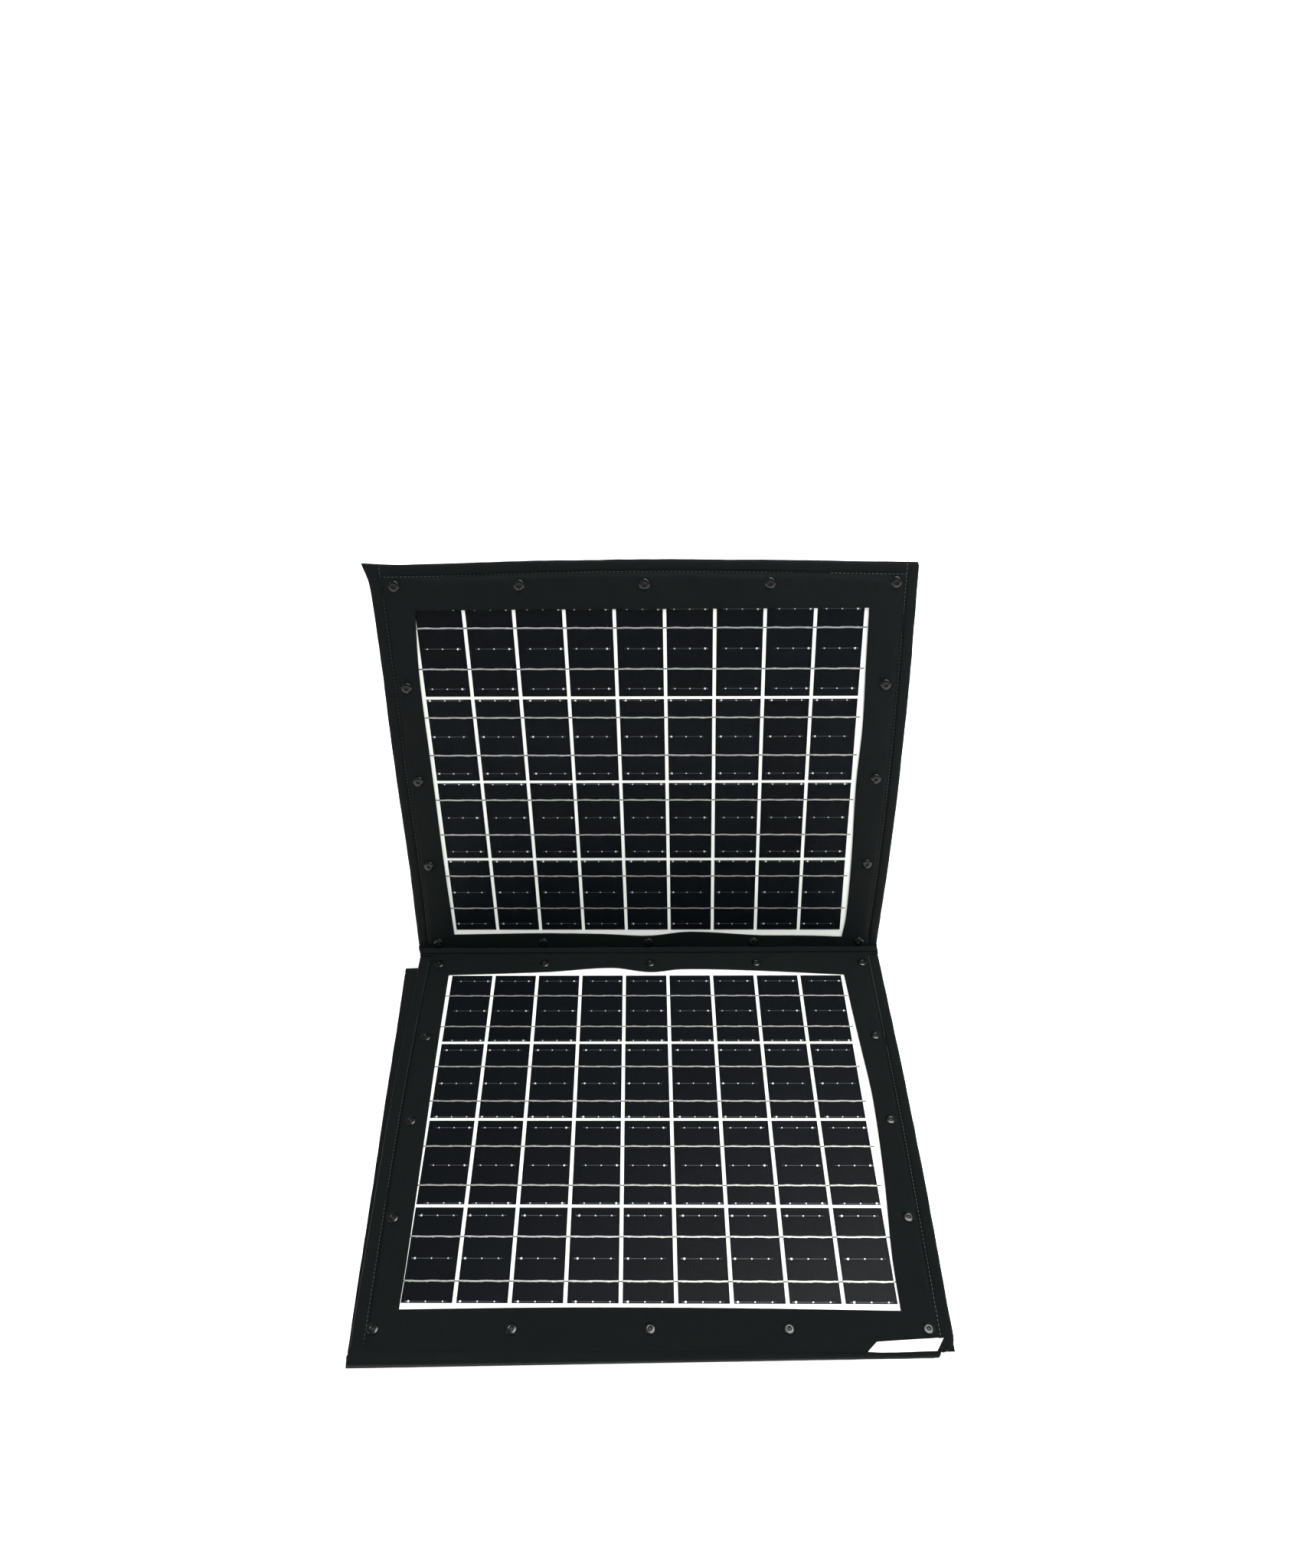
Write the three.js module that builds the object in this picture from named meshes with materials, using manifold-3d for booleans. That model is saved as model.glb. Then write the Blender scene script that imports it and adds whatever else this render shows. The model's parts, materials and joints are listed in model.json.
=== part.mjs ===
// A folding solar suitcase: four fabric-covered leaves in an accordion, one of them propped up by a stand.
// Millimetres, +Z up. The origin is the middle of the stack's underside.
import * as THREE from 'three';
import { mergeVertices } from 'three/addons/utils/BufferGeometryUtils.js';
import Module from 'manifold-3d';

const wasm = await Module();
wasm.setup();

// Leaf outline. A leaf is drawn in its own frame: x across, y outwards from its face fold, z out of its face.
const leafWidth = 462;
const freeEnd = 399;        // y of the upper leaf's free outer edge
const foldedEnd = 394.5;    // y of the other leaves' outer edges
const backFoldAt = 400;     // y of the fold line behind that edge
const cornerRadius = 3;

// Layers of a leaf, from its back: each entry is where the layer starts and how thick it is.
const layerGap = 0.1;
const coverThick = 0.7;
const boardStart = coverThick + layerGap;
const boardThick = 1.2;
const sheetStart = boardStart + boardThick + layerGap;
const sheetThick = 0.4;
const cellStart = sheetStart + sheetThick + layerGap;
const cellThick = 0.2;
const filmStart = cellStart + cellThick + layerGap;
const filmThick = 0.3;
const bezelStart = filmStart + filmThick + layerGap;
const bezelThick = 0.7;
const leafThick = bezelStart + bezelThick;

// Stiffener board, laminate and window
const boardHalf = 217;
const boardEnd = 385;
const laminateHalf = 205.8;
const laminateStart = 20.6;
const laminateEnd = 375;
const windowHalf = 197;
const windowStart = 27;
const windowEnd = 362;

// Solar cells: 9 columns and 4 rows of cut cells, with one ribbon through each row and a bus at each end
const cellColumns = 9;
const cellRows = 4;
const cellWide = 39.7;
const cellLong = 79.4;
const columnPitch = 42.7;
const rowPitch = 82;
const firstRow = 32.1;
const ribbonWide = 1.5;
const ribbonAt = 0.3;       // share of the cell's length
const busWide = 4;
const busAt = 198;

// Rivets
const rivetColumns = [-209, -104.5, 0, 104.5, 209];
const rivetEndRows = [18, 378];
const rivetSideRows = [107, 197, 288];
const rivetSides = 8;
const shankRadius = 1.9;
const holeRadius = 2.1;
const headRadius = 4.8;
const headHigh = 1.1;

// Folds
const faceGap = 2.6;        // between two faces that are folded together
const backGap = 0.5;        // between two backs that are folded together
const foldClear = 2.5;      // from a face fold's line to the leaf
const rollRadius = 1.5;
const rollLength = 440;
const foldSkew = 1.8;       // degrees that the two leaves beneath lie askew
const openAngle = 76.15;    // degrees of the upper leaf above level, away from the lower leaf
const upperFoldAt = 9.8;    // y of each leaf's face fold, in its own frame
const lowerFoldAt = 2;
const underFoldAt = 12;
const upperShift = -1.9;
const latticeShift = 2.5;

// Stand
const standReach = 366;     // from the fold line to the pivot, along the leaf
const pivotDrop = 6;        // pivot behind the leaf's back
const standFootOut = 32;    // foot behind the pivot, on the ground
const tubeRadius = 4;
const tubeSides = 8;
const legHalf = 100;
const stubEnd = 70;
const footBend = 14;
const stubBend = 8;
const sleeveRadius = 5.5;
const sleeveBore = 4.3;
const sleeveLength = 30;
const sleeveAt = 60;
const bracketWide = 18;
const bracketAt = 81;
const bracketRadius = 7;
const bracketBore = 4.5;
const saddleHalf = 11.2;     // half the length of a bracket's base

// Junction box on the upper leaf's back, and the label on the lower leaf
const boxSize = [112, 64, 17];
const boxAt = 316;
const glandRadius = 7;
const glandLong = 16;
const labelSize = [58, 8, 0.3];
const labelAt = [-191, 389.8];

const radians = THREE.MathUtils.degToRad;

function finish(color, roughness, metalness = 0) {
  return new THREE.MeshStandardMaterial({ color, roughness, metalness });
}

const materials = {
  fabric: finish('#1d211f', 0.9),
  board: finish('#b8b196', 0.7),
  sheet: finish('#eef1ee', 0.6),
  cell: finish('#141a26', 0.25),
  film: finish('#cfd6d8', 0.15),
  rivet: finish('#141414', 0.25),
  tube: finish('#a8abad', 0.35, 1),
  rubber: finish('#191919', 0.85),
  plastic: finish('#202122', 0.5),
  label: finish('#f2f2ef', 0.6),
};

function add(parent, name, geometry, material) {
  const mesh = new THREE.Mesh(geometry, material);
  mesh.name = name;
  parent.add(mesh);
  return mesh;
}

function toSolid(geometry) {
  const bare = geometry.clone();
  bare.deleteAttribute('normal');
  bare.deleteAttribute('uv');
  const merged = mergeVertices(bare, 1e-4);
  return new wasm.Manifold(new wasm.Mesh({
    numProp: 3,
    vertProperties: new Float32Array(merged.attributes.position.array),
    triVerts: new Uint32Array(merged.index.array),
  }));
}

function toGeometry(solid) {
  const mesh = solid.getMesh();
  const geometry = new THREE.BufferGeometry();
  geometry.setAttribute('position', new THREE.BufferAttribute(new Float32Array(mesh.vertProperties), 3));
  geometry.setIndex(new THREE.BufferAttribute(new Uint32Array(mesh.triVerts), 1));
  geometry.computeVertexNormals();
  return geometry;
}

function slab(x0, x1, y0, y1, z0, thick) {
  const geometry = new THREE.BoxGeometry(x1 - x0, y1 - y0, thick);
  return geometry.translate((x0 + x1) / 2, (y0 + y1) / 2, z0 + thick / 2);
}

function roundedPlate(half, y0, y1, z0, thick) {
  const r = cornerRadius;
  const shape = new THREE.Shape();
  shape.moveTo(-half + r, y0);
  shape.lineTo(half - r, y0);
  shape.absarc(half - r, y0 + r, r, -Math.PI / 2, 0);
  shape.lineTo(half, y1 - r);
  shape.absarc(half - r, y1 - r, r, 0, Math.PI / 2);
  shape.lineTo(-half + r, y1);
  shape.absarc(-half + r, y1 - r, r, Math.PI / 2, Math.PI);
  shape.lineTo(-half, y0 + r);
  shape.absarc(-half + r, y0 + r, r, Math.PI, Math.PI * 1.5);
  const geometry = new THREE.ExtrudeGeometry(shape, { depth: thick, bevelEnabled: false, curveSegments: 3 });
  return geometry.translate(0, 0, z0);
}

function rivetPlaces() {
  const places = [];
  for (const y of rivetEndRows) {
    for (const x of rivetColumns) places.push([x, y]);
  }
  for (const y of rivetSideRows) {
    for (const x of [rivetColumns[0], rivetColumns[4]]) places.push([x, y]);
  }
  return places;
}

function post(radius, x, y, z0, z1) {
  const geometry = new THREE.CylinderGeometry(radius, radius, z1 - z0, rivetSides);
  return geometry.rotateX(Math.PI / 2).translate(x, y, (z0 + z1) / 2);
}

function drilled(geometry, radius, z0, z1) {
  let solid = toSolid(geometry);
  for (const [x, y] of rivetPlaces()) solid = solid.subtract(toSolid(post(radius, x, y, z0, z1)));
  return toGeometry(solid);
}

// The front cover: a frame of cloth with a window, whose rim comes down around the board.
function bezelGeometry(start, end) {
  const under = boardStart;
  const outer = toSolid(roundedPlate(leafWidth / 2, start, end, under, leafThick - under));
  const rim = layerGap * 2;
  const pocketStart = boardFrom(start) - rim;
  const pocket = toSolid(slab(-boardHalf - rim, boardHalf + rim, pocketStart, boardEnd + rim, 0, bezelStart));
  const opening = toSolid(slab(-windowHalf, windowHalf, windowStart, windowEnd, 0, leafThick * 2));
  return toGeometry(outer.subtract(pocket).subtract(opening));
}

function boardFrom(start) {
  return start + 1.6;
}

// One layer of cells: every row is a string of cells on a ribbon, and a bus joins the rows at each end.
function cellGeometry(shift) {
  const boxes = [];
  for (let row = 0; row < cellRows; row++) {
    const y = firstRow + row * rowPitch;
    for (let column = 0; column < cellColumns; column++) {
      const x = shift + (column - (cellColumns - 1) / 2) * columnPitch;
      boxes.push(slab(x - cellWide / 2, x + cellWide / 2, y, y + cellLong, cellStart, cellThick));
    }
    const ribbonY = y + cellLong * ribbonAt;
    boxes.push(slab(-busAt, busAt, ribbonY - ribbonWide / 2, ribbonY + ribbonWide / 2, cellStart, cellThick));
  }
  const busStart = firstRow + cellLong * ribbonAt;
  const busEnd = busStart + (cellRows - 1) * rowPitch;
  for (const side of [-1, 1]) {
    const x = side * (busAt + busWide / 2 - 0.5);
    boxes.push(slab(x - busWide / 2, x + busWide / 2, busStart - busWide, busEnd + busWide, cellStart, cellThick));
  }
  let solid = toSolid(boxes[0]);
  for (const box of boxes.slice(1)) solid = solid.add(toSolid(box));
  return toGeometry(solid);
}

// A blind rivet: a domed head with its mandrel hole, a shank, and the crimped end behind the board.
function rivetGeometry() {
  const top = leafThick + layerGap;
  const foot = boardStart + 0.05;
  const profile = [
    [0, foot], [shankRadius, foot], [shankRadius, top], [headRadius, top],
    [headRadius * 0.8, top + headHigh * 0.75], [headRadius * 0.35, top + headHigh], [0, top + headHigh * 0.5],
  ];
  const geometry = new THREE.LatheGeometry(profile.map(([x, y]) => new THREE.Vector2(x, y)), rivetSides);
  return geometry.rotateX(Math.PI / 2);
}

// A leaf with the line of its face fold on the group's own x axis. The two leaves that lie open have every
// layer and rivet apart; the two beneath have their board and laminate bonded in one.
function makeLeaf(name, foldAt, end, shift, detailed) {
  const leaf = new THREE.Group();
  const inner = new THREE.Group();
  const start = foldAt + foldClear;
  const from = boardFrom(start);
  inner.position.set(0, -foldAt, -(leafThick + faceGap / 2));
  leaf.add(inner);
  add(inner, `${name}_back_cover`, roundedPlate(leafWidth / 2, start, end, 0, coverThick), materials.fabric);
  const board = slab(-boardHalf, boardHalf, from, boardEnd, boardStart, boardThick);
  const bezel = bezelGeometry(start, end);
  if (!detailed) {
    const bond = boardStart + boardThick - layerGap;
    const laminateThick = filmStart + filmThick - bond;
    const laminate = slab(-laminateHalf, laminateHalf, laminateStart, laminateEnd, bond, laminateThick);
    add(inner, `${name}_panel`, toGeometry(toSolid(board).add(toSolid(laminate))), materials.cell);
    add(inner, `${name}_bezel`, bezel, materials.fabric);
    return leaf;
  }
  add(inner, `${name}_board`, drilled(board, holeRadius, 0, sheetStart), materials.board);
  for (const [part, z, thick, material] of [
    ['backsheet', sheetStart, sheetThick, materials.sheet],
    ['front_film', filmStart, filmThick, materials.film],
  ]) {
    const layer = slab(-laminateHalf, laminateHalf, laminateStart, laminateEnd, z, thick);
    add(inner, `${name}_${part}`, layer, material);
  }
  add(inner, `${name}_cell_strings`, cellGeometry(shift), materials.cell);
  add(inner, `${name}_bezel`, drilled(bezel, holeRadius, bezelStart - layerGap, leafThick * 2), materials.fabric);
  rivetPlaces().forEach(([x, y], index) => {
    const number = String(index + 1).padStart(2, '0');
    const rivet = add(inner, `${name}_rivet_${number}`, rivetGeometry(), materials.rivet);
    rivet.position.set(x, y, 0);
  });
  return leaf;
}

// The roll of cloth along a fold
function foldRoll(name) {
  const geometry = new THREE.CylinderGeometry(rollRadius, rollRadius, rollLength, 8).rotateZ(Math.PI / 2);
  const roll = new THREE.Group();
  add(roll, name, geometry, materials.fabric);
  return roll;
}

// The stand in its own frame: pivot on the x axis, legs down the -y axis. Each bend joins two straights.
function standFrameGeometry(reach) {
  const corners = [
    [-stubEnd, 0, 0], [-legHalf, 0, stubBend], [-legHalf, -reach, footBend],
    [legHalf, -reach, footBend], [legHalf, 0, stubBend], [stubEnd, 0, 0],
  ].map(([x, y, bend]) => ({ at: new THREE.Vector3(x, y, 0), bend }));
  const path = new THREE.CurvePath();
  let here = corners[0].at;
  for (let k = 1; k < corners.length - 1; k++) {
    const { at, bend } = corners[k];
    const [before, after] = [corners[k - 1].at, corners[k + 1].at];
    const from = at.clone().lerp(before, bend / at.distanceTo(before));
    const to = at.clone().lerp(after, bend / at.distanceTo(after));
    path.add(new THREE.LineCurve3(here, from));
    path.add(new THREE.QuadraticBezierCurve3(from, at, to));
    here = to;
  }
  path.add(new THREE.LineCurve3(here, corners[corners.length - 1].at));
  return tubeAlong(path);
}

// Rings of a round section set square to the path, at the ends of its straights and around its bends
function tubeAlong(path) {
  const stations = [];
  for (const curve of path.curves) {
    const steps = curve.isLineCurve3 ? 1 : 5;
    for (let step = 0; step <= steps; step++) {
      const at = step / steps;
      if (step === 0 && stations.length) continue;
      stations.push([curve.getPoint(at), curve.getTangent(at)]);
    }
  }
  const positions = [];
  const up = new THREE.Vector3(0, 0, 1);
  for (const [point, tangent] of stations) {
    const side = tangent.clone().cross(up).normalize();
    for (let k = 0; k < tubeSides; k++) {
      const angle = (k + 0.5) * 2 * Math.PI / tubeSides;
      const spot = point.clone().addScaledVector(side, tubeRadius * Math.cos(angle));
      spot.addScaledVector(up, tubeRadius * Math.sin(angle));
      positions.push(spot.x, spot.y, spot.z);
    }
  }
  const triangles = [];
  for (let ring = 0; ring < stations.length - 1; ring++) {
    for (let k = 0; k < tubeSides; k++) {
      const next = (k + 1) % tubeSides;
      const [a, b] = [ring * tubeSides + k, ring * tubeSides + next];
      const [c, d] = [a + tubeSides, b + tubeSides];
      triangles.push(a, d, b, a, c, d);
    }
  }
  const last = (stations.length - 1) * tubeSides;
  for (let k = 1; k < tubeSides - 1; k++) {
    triangles.push(0, k, k + 1);
    triangles.push(last, last + k + 1, last + k);
  }
  const geometry = new THREE.BufferGeometry();
  geometry.setAttribute('position', new THREE.Float32BufferAttribute(positions, 3));
  geometry.setIndex(triangles);
  geometry.computeVertexNormals();
  return geometry;
}

function sleeveGeometry() {
  const half = sleeveLength / 2;
  const profile = [
    [sleeveBore, -half], [sleeveRadius, -half], [sleeveRadius, half], [sleeveBore, half], [sleeveBore, -half],
  ];
  const geometry = new THREE.LatheGeometry(profile.map(([x, y]) => new THREE.Vector2(x, y)), 16);
  return geometry.rotateZ(Math.PI / 2);
}

// A saddle block with a bore for the stand's stub, flat where it sits on the leaf's back
function bracketGeometry() {
  const flat = pivotDrop - layerGap;
  const shape = new THREE.Shape();
  shape.moveTo(-saddleHalf, flat);
  shape.lineTo(-saddleHalf, flat - 2);
  shape.lineTo(-bracketRadius, 0);
  shape.absarc(0, 0, bracketRadius, Math.PI, 2 * Math.PI);
  shape.lineTo(saddleHalf, flat - 2);
  shape.lineTo(saddleHalf, flat);
  const bore = new THREE.Path();
  bore.absarc(0, 0, bracketBore, 0, 2 * Math.PI, true);
  shape.holes.push(bore);
  const geometry = new THREE.ExtrudeGeometry(shape, { depth: bracketWide, bevelEnabled: false, curveSegments: 5 });
  const axes = new THREE.Matrix4().makeBasis(
    new THREE.Vector3(0, 1, 0), new THREE.Vector3(0, 0, 1), new THREE.Vector3(1, 0, 0),
  );
  return geometry.translate(0, 0, -bracketWide / 2).applyMatrix4(axes);
}

function junctionBoxGeometry() {
  const [wide, high, deep] = boxSize;
  const edge = 4;
  const shape = new THREE.Shape();
  shape.moveTo(-wide / 2 + edge, -high / 2);
  shape.lineTo(wide / 2 - edge, -high / 2);
  shape.lineTo(wide / 2, -high / 2 + edge);
  shape.lineTo(wide / 2, high / 2 - edge);
  shape.lineTo(wide / 2 - edge, high / 2);
  shape.lineTo(-wide / 2 + edge, high / 2);
  shape.lineTo(-wide / 2, high / 2 - edge);
  shape.lineTo(-wide / 2, -high / 2 + edge);
  const body = new THREE.ExtrudeGeometry(shape, { depth: deep, bevelEnabled: false });
  body.translate(0, 0, -deep - layerGap);
  const gland = new THREE.CylinderGeometry(glandRadius, glandRadius, glandLong * 2, 12);
  gland.rotateZ(Math.PI / 2).translate(wide / 2, 0, -deep / 2);
  const way = new THREE.CylinderGeometry(glandRadius * 0.5, glandRadius * 0.5, glandLong * 2, 12);
  way.rotateZ(Math.PI / 2).translate(wide / 2 + glandLong, 0, -deep / 2);
  return toGeometry(toSolid(body).add(toSolid(gland)).subtract(toSolid(way)));
}

// Where the folds are
const axisDepth = leafThick + faceGap / 2;
const lowerBack = 2 * leafThick + faceGap + backGap;
const upperFold = new THREE.Vector3(0, 200, lowerBack + axisDepth);
const backFold = new THREE.Vector3(0, upperFold.y + lowerFoldAt - backFoldAt, lowerBack - backGap / 2);
const underReach = backFoldAt - underFoldAt;

const suitcase = new THREE.Group();

const upper = makeLeaf('upper', upperFoldAt, freeEnd, -latticeShift, true);
upper.position.copy(upperFold).add(new THREE.Vector3(upperShift, 0, 0));
upper.rotation.x = radians(openAngle);
suitcase.add(upper);

const lower = makeLeaf('lower', lowerFoldAt, foldedEnd, latticeShift, true);
lower.position.copy(upperFold);
lower.rotation.z = Math.PI;
suitcase.add(lower);

const under = new THREE.Group();
under.position.set(backFold.x, backFold.y, 0);
under.rotation.z = radians(foldSkew);
suitcase.add(under);

const third = makeLeaf('third', underFoldAt, foldedEnd, 0, false);
third.position.set(0, underReach, axisDepth);
third.rotation.x = Math.PI;
under.add(third);

const fourth = makeLeaf('fourth', underFoldAt, foldedEnd, 0, false);
fourth.position.set(0, underReach, axisDepth);
fourth.rotation.z = Math.PI;
under.add(fourth);

const upperRoll = foldRoll('upper_fold_roll');
upperRoll.position.copy(upperFold);
suitcase.add(upperRoll);

const backRoll = foldRoll('back_fold_roll');
backRoll.position.copy(backFold);
backRoll.rotation.z = radians(foldSkew / 2);
suitcase.add(backRoll);

const underRoll = foldRoll('under_fold_roll');
underRoll.position.set(0, underReach, axisDepth);
under.add(underRoll);

// The label lies on the lower leaf's outer margin.
const labelX = labelAt[0];
const labelY = labelAt[1] - lowerFoldAt;
const labelZ = layerGap - faceGap / 2;
add(lower, 'label', slab(
  labelX - labelSize[0] / 2, labelX + labelSize[0] / 2,
  labelY - labelSize[1] / 2, labelY + labelSize[1] / 2, labelZ, labelSize[2],
), materials.label);

// The stand and its brackets hang on the upper leaf's back.
const back = new THREE.Group();
back.position.z = -axisDepth;
upper.add(back);
const box = add(back, 'junction_box', junctionBoxGeometry(), materials.plastic);
box.position.y = boxAt;
for (const [side, word] of [[-1, 'left'], [1, 'right']]) {
  const bracket = add(back, `stand_bracket_${word}`, bracketGeometry(), materials.plastic);
  bracket.position.set(side * bracketAt, standReach, -pivotDrop);
}

suitcase.updateMatrixWorld(true);
const pivot = back.localToWorld(new THREE.Vector3(0, standReach, -pivotDrop));
const drop = pivot.z - sleeveRadius;
const standLength = Math.hypot(drop, standFootOut);
const stand = new THREE.Group();
stand.position.copy(pivot);
stand.rotation.x = Math.PI / 2 + Math.atan2(standFootOut, drop);
suitcase.add(stand);
add(stand, 'stand_frame', standFrameGeometry(standLength), materials.tube);
for (const [side, word] of [[-1, 'left'], [1, 'right']]) {
  const sleeve = add(stand, `stand_foot_${word}`, sleeveGeometry(), materials.rubber);
  sleeve.position.set(side * sleeveAt, -standLength, 0);
}

export default suitcase;
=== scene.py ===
import json
import math

import bmesh
import bpy
from mathutils import Matrix, Vector, noise


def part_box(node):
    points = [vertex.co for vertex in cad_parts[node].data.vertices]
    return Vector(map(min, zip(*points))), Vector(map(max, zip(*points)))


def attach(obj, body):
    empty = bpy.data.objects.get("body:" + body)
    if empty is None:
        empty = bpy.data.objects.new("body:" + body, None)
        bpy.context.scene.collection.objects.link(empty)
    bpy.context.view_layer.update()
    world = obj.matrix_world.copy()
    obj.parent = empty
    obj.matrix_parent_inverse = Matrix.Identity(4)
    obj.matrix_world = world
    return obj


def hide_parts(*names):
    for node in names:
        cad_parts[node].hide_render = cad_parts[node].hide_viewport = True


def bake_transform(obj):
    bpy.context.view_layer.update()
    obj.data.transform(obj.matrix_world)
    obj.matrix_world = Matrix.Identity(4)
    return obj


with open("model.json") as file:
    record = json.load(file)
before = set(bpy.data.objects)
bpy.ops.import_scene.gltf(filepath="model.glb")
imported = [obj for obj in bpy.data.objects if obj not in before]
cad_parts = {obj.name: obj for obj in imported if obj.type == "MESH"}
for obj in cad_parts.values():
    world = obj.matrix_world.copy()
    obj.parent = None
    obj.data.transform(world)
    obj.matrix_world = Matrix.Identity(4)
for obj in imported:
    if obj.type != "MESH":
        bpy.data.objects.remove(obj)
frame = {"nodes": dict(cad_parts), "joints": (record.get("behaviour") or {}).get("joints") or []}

mm = 0.001
scene = bpy.context.scene
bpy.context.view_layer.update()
joints = {joint["name"]: joint for joint in frame["joints"]}
nodes = frame["nodes"]


# ---- small helpers

def linearColour(hexText):
    channels = [int(hexText[i:i + 2], 16) / 255 for i in (1, 3, 5)]
    return tuple(c / 12.92 if c <= 0.04045 else ((c + 0.055) / 1.055) ** 2.4 for c in channels) + (1,)


def addNode(tree, kind, settings=None, links=None):
    node = tree.nodes.new(kind)
    for key, value in (settings or {}).items():
        if isinstance(key, str) and hasattr(node, key):
            setattr(node, key, value)
        else:
            node.inputs[key].default_value = value
    for key, source in (links or {}).items():
        tree.links.new(source, node.inputs[key])
    return node


def smoothStep(low, high, value):
    t = min(max((value - low) / (high - low), 0), 1)
    return t * t * (3 - 2 * t)


def rotated(angle, axis):
    return Matrix.Rotation(angle, 4, axis)


def bump(distance, width):
    return math.exp(-(distance / width) ** 2)


def throughPoints(points, at):
    if at <= points[0][0]:
        return points[0][1]
    if at >= points[-1][0]:
        return points[-1][1]
    i = max(k for k in range(len(points) - 1) if points[k][0] <= at)
    (x0, y0), (x1, y1) = points[i], points[i + 1]
    before = points[max(i - 1, 0)]
    after = points[min(i + 2, len(points) - 1)]
    slope0 = (y1 - before[1]) / (x1 - before[0])
    slope1 = (after[1] - y0) / (after[0] - x0)
    step = x1 - x0
    t = (at - x0) / step
    a, b = 2 * t ** 3 - 3 * t ** 2 + 1, t ** 3 - 2 * t ** 2 + t
    return a * y0 + b * step * slope0 + (1 - a) * y1 + (t ** 3 - t ** 2) * step * slope1


def newObject(name, verts, faces, material=None, edges=()):
    mesh = bpy.data.meshes.new(name)
    mesh.from_pydata(verts, edges, faces)
    mesh.update()
    piece = bpy.data.objects.new(name, mesh)
    scene.collection.objects.link(piece)
    if material:
        mesh.materials.append(material)
    return piece


def shadeSmooth(piece, angle=40):
    for polygon in piece.data.polygons:
        polygon.use_smooth = True
    piece.data.set_sharp_from_angle(angle=math.radians(angle))


def faceOutward(piece):
    tidy = bmesh.new()
    tidy.from_mesh(piece.data)
    bmesh.ops.recalc_face_normals(tidy, faces=tidy.faces)
    tidy.to_mesh(piece.data)
    tidy.free()


# The faces of a thin sheet: a grid of points on top, the same grid beneath, and a rim between them.
def sheetFaces(columns, rows):
    count = columns + 1
    size = count * (rows + 1)
    faces = []
    for j in range(rows):
        for i in range(columns):
            a = j * count + i
            faces.append((a, a + 1, a + count + 1, a + count))
            faces.append((size + a, size + a + count, size + a + count + 1, size + a + 1))
    rim = [*range(count)] + [j * count + columns for j in range(1, rows + 1)]
    rim += [rows * count + i for i in range(columns - 1, -1, -1)]
    rim += [j * count for j in range(rows - 1, 0, -1)]
    return faces + [(a, a + size, b + size, b) for a, b in zip(rim, rim[1:] + rim[:1])]


def flatMap(piece):
    mesh = piece.data
    layer = mesh.uv_layers.new(name="cut")
    for loop in mesh.loops:
        spot = mesh.vertices[loop.vertex_index].co
        layer.data[loop.index].uv = (spot.x, spot.y)


def placePiece(piece, matrix, body):
    piece.data.transform(matrix)
    if body:
        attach(piece, body)
    return piece


# ---- where each leaf lies: x across, y out from its face fold, z out of its face, in metres

leafCut = {"halfWidth": 231, "freeEnd": 399, "foldedEnd": 394.5, "foldClear": 2.5, "boardHalf": 217,
    "boardEnd": 385, "laminateHalf": 205.8, "laminateFrom": 20.6, "laminateTo": 375, "firmThick": 1.2}
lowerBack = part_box("lower_back_cover")[0].z
layerTop = {
    "film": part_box("lower_front_film")[1].z - lowerBack,
    "cell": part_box("lower_cell_strings")[1].z - lowerBack,
    "cellFoot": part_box("lower_cell_strings")[0].z - lowerBack,
    "face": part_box("lower_bezel")[1].z - lowerBack,
    "cover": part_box("lower_back_cover")[1].z - lowerBack,
    "board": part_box("lower_board")[1].z - lowerBack,
}
upperFold = Vector(joints["upper_fold"]["pos_m"])
underFold = Vector(joints["under_fold"]["pos_m"])
underSkew = math.atan2(*reversed(joints["under_fold"]["axis"][:2]))
openAngle = -math.radians(joints["upper_fold"]["range_deg"][0])
axisRise = upperFold.z - lowerBack
standPivot = Vector(joints["stand_fold"]["pos_m"])


def leafPlace(at, turn, foldAt):
    return Matrix.Translation(at) @ turn @ Matrix.Translation((0, -foldAt * mm, -axisRise))


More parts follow.
